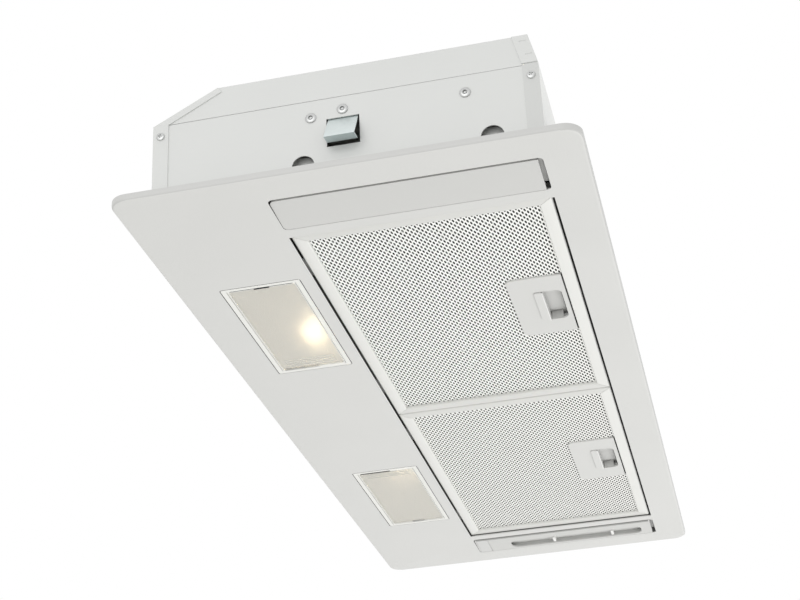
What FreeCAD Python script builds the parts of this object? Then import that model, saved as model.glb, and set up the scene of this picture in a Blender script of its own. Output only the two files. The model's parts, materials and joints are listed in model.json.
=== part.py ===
import FreeCAD, Part
import math
import os
import re

import Sketcher

# Built-in range hood, millimetres. +X runs towards the blank end, -X towards the control end,
# -Y towards the lamps and +Z up into the cupboard. Z is zero on the flange that seats on the cupboard.

SIZES = {
    # face plate
    "plate_length": 746,
    "plate_depth": 288,
    "plate_corner": 12,
    "plate_edge": 2,
    "plate_sheet": 0.9,
    "rim_height": 4.6,
    "return_width": 10,
    # openings in the face plate
    "recess_margin": 26,
    "recess_width": 38,
    "recess_bar": 10,
    "recess_outer": "plate_length / 2 - recess_margin",
    "recess_inner": "recess_outer - recess_width",
    "recess_corner": 3.5,
    "front_margin": 93,
    "rear_margin": 26.4,
    "filter_open_length": "2 * (recess_inner - recess_bar)",
    "filter_open_front": "plate_depth / 2 - front_margin",
    "filter_open_rear": "plate_depth / 2 - rear_margin",
    "lamp_margin": 198,
    "lamp_bar": 9,
    "lamp_centre": "plate_length / 2 - lamp_margin",
    "lamp_open_length": 139,
    "lamp_open_depth": 55.8,
    "lamp_open_rear": "filter_open_front + lamp_bar",
    "lamp_open_corner": 2,
    # casing
    "end_overhang": 18,
    "side_overhang": 22.5,
    "casing_length": "plate_length - 2 * end_overhang",
    "casing_depth": "plate_depth - 2 * side_overhang",
    "casing_sheet": 0.8,
    "wall_height": 61,
    "wall_foot": 8,
    "wall_top_flange": 11,
    "corner_flange": 10,
    "end_foot": 5.5,
    "channel_depth": 6.2,
    "channel_height": 24,
    "clip_window_width": 20.6,
    "clip_window_low": 26,
    "clip_window_high": 46,
    "side_hole_radius": 7,
    "side_hole_front": 25.5,
    "rear_hole_margin": 31,
    "side_hole_rear": "casing_depth / 2 - rear_hole_margin",
    "side_hole_height": 15.5,
    # top cover
    "lid_rise": 21.5,
    "slope_run": 42,
    "lean_run": 5,
    "strip_base": 10.5,
    "strip_end_drop": 3.5,
    "strip_end_run": 2.5,
    "tab_width": 10,
    "tab_lift": 1,
    "fold_proud": 0.6,
    # blower box, scroll and outlet
    "box_length": 260,
    "box_height": 122,
    "box_flange": 5,
    "box_front_margin": 0.5,
    "box_rear_margin": 14.5,
    "box_front": "casing_depth / 2 - slope_run - box_flange - box_front_margin",
    "box_rear": "casing_depth / 2 - lean_run - 2 * box_flange - box_rear_margin",
    "scroll_axis_x": 38.5,
    "scroll_axis_y": "(box_rear - box_front) / 2",
    "scroll_axis_height": 110,
    "spiral_start": 66,
    "spiral_step": 9,
    "throat_length": 100,
    "scroll_width": 104,
    "scroll_sheet": 1,
    "inlet_radius": 51,
    "outlet_radius": 49,
    # impeller and motor
    "wheel_radius": 58,
    "wheel_width": 92,
    "wheel_ring": 1.6,
    "blade_count": 36,
    "blade_inner_radius": 48,
    "blade_sheet": 0.9,
    "blade_curve": 9,
    "hub_radius": 9,
    "hub_length": 16,
    "shaft_radius": 4,
    "motor_radius": 36,
    "motor_length": 44,
    "motor_boss_radius": 16,
    "motor_boss_length": 6,
    "motor_gap": 6,
    "bracket_sheet": 2,
    "bracket_arm_width": 12,
    "running_gap": 0.4,
    # duct collar and damper
    "collar_radius": 61.5,
    "collar_wall": 1.2,
    "collar_height": 48,
    "collar_flange": 11,
    "damper_seat": 3,
    "damper_seat_height": 8,
    "damper_sheet": 0.8,
    "damper_gap": 1.4,
    "damper_pin_radius": 1.6,
    "knuckle_wall": 1,
    "knuckle_length": 18,
    # terminal box
    "terminal_margin": 55,
    "terminal_x": "casing_length / 2 - terminal_margin",
    "terminal_length": 90,
    "terminal_depth": 80,
    "terminal_y": 40,
    "terminal_height": 34,
    "terminal_lip": 6,
    "gland_radius": 9.5,
    "gland_bore": 5,
    "gland_length": 20,
    "gland_nut_radius": 12.5,
    "gland_nut_length": 6,
    "gland_height": 15,
    "capacitor_radius": 13,
    "capacitor_length": 60,
    # lamps
    "lamp_box_margin": 1.6,
    "lamp_box_height": 46,
    "lamp_box_foot": 4,
    "lamp_axis_height": 24,
    "lamp_axis_inset": 24,
    "lamp_axis_y": "lamp_open_rear + lamp_axis_inset",
    "holder_radius": 14,
    "holder_length": 20,
    "bulb_radius": 15,
    "bulb_neck_radius": 7,
    "bulb_length": 58,
    "lens_end_gap": 0.5,
    "lens_side_gap": 0.5,
    "lens_sheet": 2.2,
    "lens_border": 4.5,
    "lens_dish": 1,
    "lens_corner": 1.5,
    "lens_rim_height": 9,
    "lens_rim_wall": 1.4,
    "lens_slit_margin": 3,
    "lens_slit_width": 1,
    "lens_slit_inset": 9,
    "lens_notch_width": 2.4,
    "lens_notch_length": 11,
    "grip_rib_pitch": 3.2,
    "grip_rib_width": 1.4,
    "grip_rib_count": 4,
    # control end and blank end
    "panel_drop": 0.8,
    "panel_sheet": 1.5,
    "panel_gap": 0.5,
    "panel_front_gap": 0.2,
    "panel_side_gap": 3.3,
    "panel_end_gap": 3.2,
    "panel_wall": 10,
    "slot_margin": 5,
    "slot_width": 13.5,
    "slot_front_margin": 33,
    "slot_rear_margin": 13,
    "slot_outer": "recess_outer - slot_margin",
    "slot_inner": "slot_outer - slot_width",
    "slot_front": "filter_open_front - slot_front_margin",
    "slot_rear": "filter_open_rear - slot_rear_margin",
    "slot_corner": 4,
    "switch_level": 4.8,
    "switch_height": 20,
    "switch_lap": 2,
    "knob_sheet": 2.5,
    "knob_gap": 0.6,
    "stem_length": 7,
    "stem_width": 4,
    "stem_height": 8,
    "lamp_travel_back": 32.5,
    "lamp_travel_on": 12.5,
    "fan_travel_back": 20,
    "fan_travel_on": 20,
    "lamp_room": 8,
    "fan_room": 7,
    "lamp_knob_y": "lamp_travel_back + lamp_room - slot_front",
    "fan_knob_y": "slot_rear - fan_room - fan_travel_on",
    "switch_split": "(lamp_knob_y + fan_knob_y) / 2",
    "tile_margin": 1.5,
    "tile_inner": "recess_inner + panel_side_gap + tile_margin",
    "tile_outer": "recess_outer - tile_margin",
    "tile_gap": 0.1,
    "tile_depth": 11,
    "tile_sheet": 0.6,
    # filters
    "filter_drop": 1.2,
    "filter_gap": 0.8,
    "filter_front_gap": 0.5,
    "filter_rear_gap": 1.5,
    "filter_seam": 1.4,
    "filter_height": 11,
    "frame_face": 9,
    "frame_sheet": 0.7,
    "mesh_recess": 2.5,
    "mesh_sheet": 0.5,
    "mesh_gap": 0.3,
    "mesh_layers": 4,
    "layer_sheet": 0.35,
    "tongue_level": 4,
    "tongue_reach": 3.5,
    "tongue_width": 24,
    "tongue_place": 100,
    # latches
    "latch_length": 86.5,
    "latch_depth": 38.2,
    "latch_gap": 1.2,
    "latch_sheet": 1.2,
    "latch_corner": 5,
    "pocket_length": 44,
    "pocket_depth": 18,
    "pocket_margin": 3,
    "pocket_height": 6.5,
    "pocket_wall": 0.8,
    "pocket_slot": 1.6,
    "lip_depth": 6.2,
    "lip_sheet": 0.8,
    "lip_gap": 0.2,
    "finger_wall": 1,
    "arm_margin": 4.6,
    "arm_width": 3,
    "arm_height": 2.4,
    "bolt_length": 30,
    "bolt_gap": 0.4,
    "latch_travel": 4,
    # spring clips
    "clip_width": 19,
    "clip_sheet": 0.8,
    "clip_inset": 6,
    "clip_reach": "end_overhang - clip_inset",
    "clip_apex_height": 25.8,
    "clip_lip_reach": 2.8,
    "clip_lip_height": 27,
    "clip_base_height": 11,
    "clip_gap": 0.4,
    # fasteners
    "rivet_head_radius": 3.5,
    "rivet_head_height": 1.1,
    "rivet_shank_radius": 1.6,
    "screw_head_radius": 4,
    "screw_head_height": 2.2,
    "screw_shank_radius": 1.7,
    "corner_head_radius": 2.7,
    "corner_head_height": 1.2,
    "shank_length": 5,
    "hole_gap": 0.2,
    "clip_rivet_height": 51.5,
    "front_rivet_y": 20,
    "rear_rivet_margin": 45.5,
    "rear_rivet_y": "casing_depth / 2 - rear_rivet_margin",
    "side_rivet_height": 48.5,
    "corner_screw_y": "casing_depth / 2 - corner_flange / 2",
    "corner_screw_height": 52.7,
}

FACE = "-rim_height"
FLOOR = "-rim_height + plate_sheet"
HALF = "casing_length / 2"
WALL = "casing_depth / 2"
WALL_TOP = "-rim_height + wall_height"
LID_TOP = "-rim_height + wall_height + lid_rise"
BOX_TOP = "-rim_height + wall_height + lid_rise + box_height"
ENDS = {"blank": 1, "control": -1}
SCREW_HOLE = "screw_shank_radius + hole_gap"
RIVET_HOLE = "rivet_shank_radius + hole_gap"
BRACKET_ANGLES = (90, 210, 330)
COLLAR_ANGLES = (0, 60, 120, 180, 240, 300)

os.makedirs("parts", exist_ok=True)
doc = FreeCAD.newDocument("range_hood")
sheet = doc.addObject("Spreadsheet::Sheet", "dims")
for row, (alias, value) in enumerate(SIZES.items(), 1):
    sheet.set(f"A{row}", alias)
    sheet.set(f"B{row}", f"={value}" if isinstance(value, str) else str(value))
    sheet.setAlias(f"B{row}", alias)
doc.recompute()


def cells(text):
    """Turn size names in a formula into references to the sheet."""
    return re.sub(r"[a-z_]+", lambda word: f"dims.{word[0]}" if word[0] in SIZES else word[0], text)


def size(text):
    """Value of a formula in size names."""
    return float(sheet.evalExpression(cells(text)))


def span(side, low, high):
    """Low and high end of an interval, mirrored to the side's own half."""
    return (low, high) if side > 0 else (f"-({high})", f"-({low})")


def rect(x_span, y_span):
    """Corners of a rectangle."""
    (x0, x1), (y0, y1) = x_span, y_span
    return [(x0, y0), (x1, y0), (x1, y1), (x0, y1)]


def rounded(x_span, y_span, radius):
    """Corners of a rectangle with round corners."""
    (x0, x1), (y0, y1) = x_span, y_span
    return [
        (f"{x0} + {radius}", y0), (f"{x1} - ({radius})", y0, radius),
        (x1, f"{y0} + {radius}"), (x1, f"{y1} - ({radius})", radius),
        (f"{x1} - ({radius})", y1), (f"{x0} + {radius}", y1, radius),
        (x0, f"{y1} - ({radius})"), (x0, f"{y0} + {radius}", radius),
    ]


def circle(x, y, radius):
    """A full circle, told from a corner list by its type."""
    return {"x": x, "y": y, "radius": radius}


def fix_point(sketch, geometry, point, x, y):
    """Bind a sketch point's place to two formulas."""
    for kind, formula in (("DistanceX", x), ("DistanceY", y)):
        constraint = Sketcher.Constraint(kind, -1, 1, geometry, point, size(formula))
        index = sketch.addConstraint(constraint)
        sketch.setExpression(f"Constraints[{index}]", cells(formula))


def fix_radius(sketch, geometry, radius):
    """Bind an arc's or circle's radius to a formula."""
    index = sketch.addConstraint(Sketcher.Constraint("Radius", geometry, size(radius)))
    sketch.setExpression(f"Constraints[{index}]", cells(radius))


def arc_between(start, end, radius):
    """Arc from start to end: it turns left for a positive radius and right for a negative one."""
    chord = end - start
    rise = math.sqrt(max(radius**2 - (chord.Length / 2) ** 2, 0))
    left = FreeCAD.Vector(-chord.y, chord.x, 0) / chord.Length
    centre = (start + end) / 2 + left * math.copysign(rise, radius)
    first, last = (start, end) if radius > 0 else (end, start)
    angles = [math.atan2(p.y - centre.y, p.x - centre.x) for p in (first, last)]
    if angles[1] < angles[0]:
        angles[1] += 2 * math.pi
    whole = Part.Circle(centre, FreeCAD.Vector(0, 0, 1), abs(radius))
    return Part.ArcOfCircle(whole, *angles)


def draw(sketch, loop):
    """Draw one closed loop and bind all its points and radii."""
    if isinstance(loop, dict):
        place = FreeCAD.Vector(size(loop["x"]), size(loop["y"]), 0)
        ring = Part.Circle(place, FreeCAD.Vector(0, 0, 1), size(loop["radius"]))
        geometry = sketch.addGeometry(ring, False)
        fix_point(sketch, geometry, 3, loop["x"], loop["y"])
        fix_radius(sketch, geometry, loop["radius"])
        return
    points = [FreeCAD.Vector(size(corner[0]), size(corner[1]), 0) for corner in loop]
    edges = []
    for index, corner in enumerate(loop):
        start, end = points[index], points[(index + 1) % len(loop)]
        if len(corner) == 2:
            geometry = sketch.addGeometry(Part.LineSegment(start, end), False)
            edges.append((geometry, 1, 2))
        else:
            turn = -1 if corner[2].startswith("-") else 1
            radius = corner[2].lstrip("-")
            geometry = sketch.addGeometry(arc_between(start, end, turn * size(radius)), False)
            fix_radius(sketch, geometry, radius)
            edges.append((geometry, 1, 2) if turn > 0 else (geometry, 2, 1))
    for index, (geometry, first, last) in enumerate(edges):
        following, its_first, _ = edges[(index + 1) % len(edges)]
        sketch.addConstraint(Sketcher.Constraint("Coincident", geometry, last, following, its_first))
        fix_point(sketch, geometry, first, loop[index][0], loop[index][1])


class Piece:
    """One sub-part: a body whose sketches and features take their sizes from the sheet."""

    def __init__(self, name):
        self.body = doc.addObject("PartDesign::Body", name)
        self.body.Label = name
        self.count = 0

    def sketch(self, plane, at, loops):
        """Sketch on a plane across the axis that the plane lacks, at a place along that axis."""
        self.count += 1
        sketch = self.body.newObject("Sketcher::SketchObject", f"{self.body.Name}_sketch_{self.count}")
        support = [f for f in self.body.Origin.OriginFeatures if f.Role == f"{plane}_Plane"][0]
        sketch.AttachmentSupport = [(support, "")]
        sketch.MapMode = "FlatFace"
        offset = f"-({at})" if plane == "XZ" else at
        sketch.setExpression("AttachmentOffset.Base.z", cells(offset))
        for loop in loops:
            draw(sketch, loop)
        return sketch

    def feature(self, kind, plane, interval, loops):
        """Pad or pocket the loops over an interval along the axis across the plane."""
        low, high = interval
        sketch = self.sketch(plane, low, loops)
        feature = self.body.newObject(f"PartDesign::{kind}", f"{self.body.Name}_{kind}_{self.count}")
        feature.Profile = sketch
        feature.setExpression("Length", cells(f"({high}) - ({low})"))
        feature.Reversed = (plane == "XZ") == (kind == "Pad")
        return feature

    def add(self, plane, interval, *loops):
        """Add material."""
        self.feature("Pad", plane, interval, loops)
        doc.recompute()
        return self

    def cut(self, plane, interval, *loops):
        """Take material away, and make sure that some went."""
        before = self.body.Shape.Volume
        self.feature("Pocket", plane, interval, loops)
        doc.recompute()
        if self.body.Shape.Volume > before - 1e-6:
            raise RuntimeError(f"{self.body.Name}: cut {self.count} removes nothing")
        return self

    def turn(self, x, y, *loops):
        """Revolve loops of (radius, height) about the upright axis through x, y."""
        sketch = self.sketch("XZ", y, loops)
        sketch.setExpression("AttachmentOffset.Base.x", cells(x))
        feature = self.body.newObject("PartDesign::Revolution", f"{self.body.Name}_turn_{self.count}")
        feature.Profile = sketch
        feature.ReferenceAxis = (sketch, ["V_Axis"])
        feature.Angle = 360
        doc.recompute()
        return self

    def round_edges(self, radius, chosen):
        """Fillet the edges that the test picks."""
        tip = self.body.Tip
        names = [f"Edge{i}" for i, edge in enumerate(tip.Shape.Edges, 1) if chosen(edge)]
        fillet = self.body.newObject("PartDesign::Fillet", f"{self.body.Name}_fillet_{self.count}")
        fillet.Base = (tip, names)
        fillet.setExpression("Radius", cells(radius))
        doc.recompute()
        return self

    def around(self, axis, count):
        """Repeat the last feature evenly about one of the body's axes."""
        last = self.body.Tip
        pattern = self.body.newObject("PartDesign::PolarPattern", f"{self.body.Name}_around")
        pattern.Originals = [last]
        support = [f for f in self.body.Origin.OriginFeatures if f.Role == f"{axis}_Axis"][0]
        pattern.Axis = (support, [""])
        pattern.Angle = 360
        pattern.setExpression("Occurrences", cells(count))
        self.body.Tip = pattern
        doc.recompute()
        return self

    def place(self, x, y, z):
        """Set the body's own place."""
        for axis, formula in zip("xyz", (x, y, z)):
            self.body.setExpression(f"Placement.Base.{axis}", cells(formula))
        return self


def symmetric(half):
    """Interval from minus to plus a half size."""
    return f"-({half})", half


def lowest(edge):
    """Edges that lie wholly on the lower face of the plate."""
    box = edge.BoundBox
    return box.ZMax < size(FACE) + 1e-6


def face_plate():
    """Pressed plate: flat face, turned-up rim and a return flange that seats on the cupboard."""
    half_x, half_y = "plate_length / 2", "plate_depth / 2"
    plate = Piece("face_plate")
    plate.add("XY", (FACE, "0"), rounded(symmetric(half_x), symmetric(half_y), "plate_corner"))
    plate.round_edges("plate_edge", lowest)
    inside = [symmetric(f"{half} - plate_sheet") for half in (half_x, half_y)]
    plate.cut("XY", (FLOOR, "-plate_sheet"), rounded(*inside, "(plate_corner - plate_sheet)"))
    mouth = [symmetric(f"{half} - plate_sheet - return_width") for half in (half_x, half_y)]
    plate.cut("XY", ("-plate_sheet", "0"), rect(*mouth))
    plate.cut("XY", (FACE, FLOOR), *plate_openings())


def plate_openings():
    """Filter opening, an end recess on each side and a lamp opening on each side."""
    loops = [rect(symmetric("filter_open_length / 2"), ("-filter_open_front", "filter_open_rear"))]
    for side in ENDS.values():
        recess = span(side, "recess_inner", "recess_outer")
        loops.append(rounded(recess, ("-filter_open_front", "filter_open_rear"), "recess_corner"))
        loops.append(rounded(lamp_span(side, "0"), lamp_depth("0"), "lamp_open_corner"))
    return loops


def lamp_span(side, inset):
    """Length of the lamp opening less an inset at each end."""
    half = f"lamp_open_length / 2 - ({inset})"
    return span(side, f"lamp_centre - ({half})", f"lamp_centre + {half}")


def lamp_depth(inset):
    """Depth of the lamp opening less an inset at each side."""
    return f"-lamp_open_rear - lamp_open_depth + {inset}", f"-lamp_open_rear - ({inset})"


def long_wall(name, side):
    """Long casing wall: outward foot, inward top flange and a flange round each corner."""
    outer, inner = WALL, f"{WALL} - casing_sheet"
    wall = Piece(name)
    length = symmetric(f"{HALF} + casing_sheet")
    wall.add("XY", (FLOOR, WALL_TOP), rect(length, span(side, inner, outer)))
    foot = rect(length, span(side, outer, f"{outer} + wall_foot"))
    wall.add("XY", (FLOOR, f"{FLOOR} + casing_sheet"), foot)
    inside = symmetric(f"{HALF} - casing_sheet - wall_top_flange")
    ledge = rect(inside, span(side, f"{inner} - wall_top_flange", inner))
    wall.add("XY", (f"{WALL_TOP} - casing_sheet", WALL_TOP), ledge)
    screw_y, screw_z = f"{side} * corner_screw_y", f"{FACE} + corner_screw_height"
    for end in ENDS.values():
        skin = span(end, HALF, f"{HALF} + casing_sheet")
        wall.add("YZ", skin, rect(span(side, f"{outer} - corner_flange", inner), (FLOOR, WALL_TOP)))
        wall.cut("YZ", skin, circle(screw_y, screw_z, SCREW_HOLE))


def rivet_places():
    """Height and depth of the rivets in an end wall."""
    return [
        ("0", f"{FACE} + clip_rivet_height"),
        ("-front_rivet_y", f"{FACE} + side_rivet_height"),
        ("rear_rivet_y", f"{FACE} + side_rivet_height"),
    ]


def screw_places():
    """Height and depth of the corner screws in an end wall."""
    return [(f"{side} * corner_screw_y", f"{FACE} + corner_screw_height") for side in (-1, 1)]


def end_wall(name, side):
    """End casing wall: clip window, two round holes, foot, top flange and a channel behind the holes."""
    wall = Piece(name)
    depth = symmetric(f"{WALL} - casing_sheet")
    skin = span(side, f"{HALF} - casing_sheet", HALF)
    wall.add("YZ", skin, rect(depth, (FLOOR, WALL_TOP)))
    window_z = (f"{FACE} + clip_window_low", f"{FACE} + clip_window_high")
    window = rect(symmetric("clip_window_width / 2"), window_z)
    low = f"{FACE} + side_hole_height"
    holes = [circle(y, low, "side_hole_radius") for y in ("-side_hole_front", "side_hole_rear")]
    holes += [circle(y, z, RIVET_HOLE) for y, z in rivet_places()]
    holes += [circle(y, z, SCREW_HOLE) for y, z in screw_places()]
    wall.cut("YZ", skin, window, *holes)
    foot = rect(span(side, HALF, f"{HALF} + end_foot"), symmetric(f"{WALL} - corner_flange"))
    wall.add("XY", (FLOOR, f"{FLOOR} + casing_sheet"), foot)
    ledge = rect(span(side, f"{HALF} - casing_sheet - wall_top_flange", f"{HALF} - casing_sheet"), depth)
    wall.add("XY", (f"{WALL_TOP} - casing_sheet", WALL_TOP), ledge)
    channel_y = symmetric("side_hole_rear + 2 * side_hole_radius")
    channel_back = f"{HALF} - casing_sheet - channel_depth"
    web = rect(span(side, channel_back, f"{HALF} - casing_sheet"), channel_y)
    wall.add("XY", (FLOOR, f"{FLOOR} + casing_sheet"), web)
    upright = rect(span(side, channel_back, f"{channel_back} + casing_sheet"), channel_y)
    wall.add("XY", (FLOOR, f"{FLOOR} + channel_height"), upright)


def lid_section(inset):
    """Cross-section of the top cover, drawn in by the sheet's thickness."""
    slope = f"{inset} * sqrt(slope_run^2 + lid_rise^2) / lid_rise"
    lean = f"{inset} * sqrt(lean_run^2 + lid_rise^2) / lid_rise"
    top = f"{LID_TOP} - {inset}"
    rise = f"(lid_rise - {inset}) / lid_rise"
    return [
        (f"-{WALL} + {slope}", WALL_TOP),
        (f"{WALL} - {lean}", WALL_TOP),
        (f"{WALL} - {lean} - lean_run * {rise}", top),
        (f"-{WALL} + {slope} + slope_run * {rise}", top),
    ]


def top_cover():
    """Folded cover: sloping front, flat top, leaning rear, end flaps with a folded strip and a corner tab."""
    lid = Piece("top_cover")
    lid.add("YZ", symmetric(HALF), lid_section("0"))
    lid.cut("YZ", symmetric(f"{HALF} - casing_sheet"), lid_section("casing_sheet"))
    hole_y = ("-box_front + box_flange", "box_rear - box_flange")
    hole = rect(symmetric("box_length / 2 - box_flange"), hole_y)
    lid.cut("XY", (f"{LID_TOP} - casing_sheet", LID_TOP), hole)
    strip = [
        (f"-{WALL}", WALL_TOP),
        (f"-{WALL} + strip_base", WALL_TOP),
        (f"-{WALL} + slope_run + strip_end_run", f"{LID_TOP} - strip_end_drop"),
        (f"-{WALL} + slope_run", LID_TOP),
    ]
    lean = "lean_run * tab_lift / lid_rise"
    tab = [
        (f"{WALL} - {lean} - tab_width", f"{WALL_TOP} + tab_lift"),
        (f"{WALL} - {lean}", f"{WALL_TOP} + tab_lift"),
        (f"{WALL} - lean_run", LID_TOP),
        (f"{WALL} - lean_run - tab_width", LID_TOP),
    ]
    for end in ENDS.values():
        lid.add("YZ", span(end, HALF, f"{HALF} + fold_proud"), strip, tab)


def blower_box():
    """Deep-drawn box on the top cover, open below, with the outlet hole above."""
    half, front, rear = "box_length / 2", "-box_front", "box_rear"
    box = Piece("blower_box")
    box.add("XY", (LID_TOP, BOX_TOP), rect(symmetric(half), (front, rear)))
    inner_y = (f"{front} + casing_sheet", f"{rear} - casing_sheet")
    inner = rect(symmetric(f"{half} - casing_sheet"), inner_y)
    box.cut("XY", (LID_TOP, f"{BOX_TOP} - casing_sheet"), inner)
    outer_y = (f"{front} - box_flange", f"{rear} + 2 * box_flange")
    outer = rect(symmetric(f"{half} + 2 * box_flange"), outer_y)
    box.add("XY", (LID_TOP, f"{LID_TOP} + casing_sheet"), outer, rect(symmetric(half), (front, rear)))
    holes = [circle(*place, SCREW_HOLE) for place in collar_screw_places()]
    outlet = circle("0", "scroll_axis_y", "outlet_radius")
    box.cut("XY", (f"{BOX_TOP} - casing_sheet", BOX_TOP), outlet, *holes)


def collar_screw_places():
    """Places of the screws round the duct collar's foot."""
    reach = "(collar_radius + collar_flange / 2)"
    return [(f"{reach} * cos({angle})", f"scroll_axis_y + {reach} * sin({angle})") for angle in COLLAR_ANGLES]


def spiral(inset):
    """Scroll outline of three growing quarter arcs and an upright throat, drawn in by the sheet."""
    x, z = "-scroll_axis_x", f"({FACE} + scroll_axis_height)"
    half_step = "spiral_step / 2"
    first, second, third = (f"(spiral_start + {n} * spiral_step - {inset})" for n in range(3))
    right = f"{x} + {half_step} + {third}"
    left = f"{x} + {half_step} + spiral_start + 2 * spiral_step - throat_length + {inset}"
    top = f"{BOX_TOP} - casing_sheet"
    crown = f"{z} - {half_step} + {first}"
    return [
        (f"{x} - {half_step}", crown, first),
        (f"{x} - {half_step} - {first}", f"{z} - {half_step}", second),
        (f"{x} + {half_step}", f"{z} - {half_step} - {second}", third),
        (right, f"{z} + {half_step}"),
        (right, top),
        (left, top),
        (left, crown),
    ]


def scroll_housing():
    """Spiral blower housing with an inlet in each side and the throat against the box's top."""
    side = "scroll_width / 2"
    outer = (f"scroll_axis_y - {side}", f"scroll_axis_y + {side}")
    inner = (f"{outer[0]} + scroll_sheet", f"{outer[1]} - scroll_sheet")
    scroll = Piece("scroll_housing")
    scroll.add("XZ", outer, spiral("0"))
    scroll.cut("XZ", inner, spiral("scroll_sheet"))
    inlet = circle("-scroll_axis_x", f"{FACE} + scroll_axis_height", "inlet_radius")
    scroll.cut("XZ", outer, inlet)
    holes = [circle(*bracket_hole(angle), SCREW_HOLE) for angle in BRACKET_ANGLES]
    scroll.cut("XZ", (inner[1], outer[1]), *holes)


def bracket_hole(angle):
    """Place of a bracket screw in the scroll's rear side."""
    reach = "(inlet_radius + bracket_arm_width / 2)"
    x = f"-scroll_axis_x + {reach} * cos({angle})"
    return x, f"{FACE} + scroll_axis_height + {reach} * sin({angle})"


def impeller():
    """Drum of forward-curved blades between two end rings and a middle disc on a hub."""
    half = "wheel_width / 2"
    wheel = Piece("impeller")
    ring = [circle("0", "0", "wheel_radius"), circle("0", "0", "blade_inner_radius")]
    disc = [circle("0", "0", "wheel_radius"), circle("0", "0", "shaft_radius")]
    wheel.add("XZ", ("-wheel_ring / 2", "wheel_ring / 2"), *disc)
    wheel.add("XZ", ("-hub_length / 2", "hub_length / 2"), circle("0", "0", "hub_radius"), disc[1])
    reach = "(wheel_radius - wheel_ring / 2)"
    root = "(blade_inner_radius + wheel_ring / 2)"
    blade = [
        (root, "0", "blade_curve"),
        (reach, "blade_sheet * 2"),
        (reach, "blade_sheet * 3", "-blade_curve"),
        (root, "blade_sheet"),
    ]
    wheel.add("XZ", symmetric(half), blade)
    wheel.around("Y", "blade_count")
    for edge in (f"-{half}", f"{half} - wheel_ring"):
        wheel.add("XZ", (edge, f"{edge} + wheel_ring"), *ring)
    wheel.place("-scroll_axis_x", "scroll_axis_y", f"{FACE} + scroll_axis_height")


def motor():
    """Motor can inside the wheel's rear half, its shaft through the hub and a three-arm bracket outside."""
    front = "hub_length / 2 + motor_gap"
    back = f"{front} + motor_length"
    axis = ("-scroll_axis_x", "scroll_axis_y", f"{FACE} + scroll_axis_height")
    shaft = Piece("motor_shaft")
    shaft_y = ("-hub_length / 2 - motor_gap", f"{front} - running_gap")
    shaft.add("XZ", shaft_y, circle("0", "0", "shaft_radius"))
    shaft.place(*axis)
    can = Piece("motor_body")
    can.add("XZ", (front, back), circle("0", "0", "motor_radius"))
    can.add("XZ", (back, f"{back} + motor_boss_length"), circle("0", "0", "motor_boss_radius"))
    can.place(*axis)
    bracket = Piece("motor_bracket")
    seat = "scroll_width / 2"
    bracket.add(
        "XZ", (seat, f"{seat} + bracket_sheet"),
        circle("0", "0", "motor_radius + bracket_arm_width / 2"), circle("0", "0", "motor_radius + hole_gap"),
    )
    half = "bracket_arm_width / 2"
    foot = "inlet_radius + bracket_arm_width"
    arm = rect(("motor_radius + bracket_arm_width / 4", foot), symmetric(half))
    bracket.add("XZ", (seat, f"{seat} + bracket_sheet"), [(y, x) for x, y in reversed(arm)])
    bracket.around("Y", "3")
    bracket.place(*axis)
    reach = "(inlet_radius + bracket_arm_width / 2)"
    for angle in BRACKET_ANGLES:
        hole = circle(f"{reach} * cos({angle})", f"{reach} * sin({angle})", SCREW_HOLE)
        bracket.cut("XZ", (seat, f"{seat} + bracket_sheet"), hole)


def duct_collar():
    """Round spigot for the duct, with a foot flange and a seat for the flaps."""
    inner = "collar_radius - collar_wall"
    seat = f"{BOX_TOP} + damper_seat_height"
    foot = f"{BOX_TOP} + collar_wall"
    collar = Piece("duct_collar")
    collar.turn("0", "scroll_axis_y", [
        (inner, BOX_TOP),
        ("collar_radius + collar_flange", BOX_TOP),
        ("collar_radius + collar_flange", foot),
        ("collar_radius", foot),
        ("collar_radius", f"{BOX_TOP} + collar_height"),
        (inner, f"{BOX_TOP} + collar_height"),
        (inner, seat),
        (f"{inner} - damper_seat", seat),
        (f"{inner} - damper_seat", f"{seat} - collar_wall"),
        (inner, f"{seat} - collar_wall"),
    ])
    holes = [circle(*place, SCREW_HOLE) for place in collar_screw_places()]
    collar.cut("XY", (BOX_TOP, foot), *holes)


def damper():
    """Two half-round flaps on one pin across the collar; each lifts about the pin."""
    inner = "(collar_radius - collar_wall)"
    barrel_radius = "damper_pin_radius + running_gap + knuckle_wall"
    axis_height = f"{BOX_TOP} + damper_seat_height + running_gap + {barrel_radius}"
    pin = Piece("damper_pin")
    pin_x = symmetric(f"sqrt({inner}^2 - damper_pin_radius^2) - hole_gap")
    pin.add("YZ", pin_x, circle("0", "0", "damper_pin_radius"))
    pin.place("0", "scroll_axis_y", axis_height)
    bore = "damper_pin_radius + running_gap"
    barrel = f"({bore} + knuckle_wall)"
    sheet_span = (f"-{barrel}", f"-{barrel} + damper_sheet")
    radius = f"({inner} - damper_gap)"
    edge = f"({barrel} + running_gap)"
    for name, side, places in (("front", -1, (-2, 1)), ("rear", 1, (-1, 2))):
        flap = Piece(f"damper_flap_{name}")
        reach = f"sqrt({radius}^2 - {edge}^2)"
        start, end = (f"-{reach}", reach) if side < 0 else (reach, f"-{reach}")
        y = f"{side} * {edge}"
        middle = ("0", f"{side} * {radius}")
        half_disc = [(start, y, radius), (*middle, radius), (end, y)]
        flap.add("XY", sheet_span, half_disc)
        for place in places:
            start_x = f"{place} * knuckle_length * 1.3 - knuckle_length / 2"
            interval = (start_x, f"{start_x} + knuckle_length")
            web = rect(span(side, "damper_pin_radius / 2", edge), sheet_span)
            flap.add("YZ", interval, circle("0", "0", barrel), circle("0", "0", bore))
            flap.add("YZ", interval, web)
        flap.place("0", "scroll_axis_y", axis_height)


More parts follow.
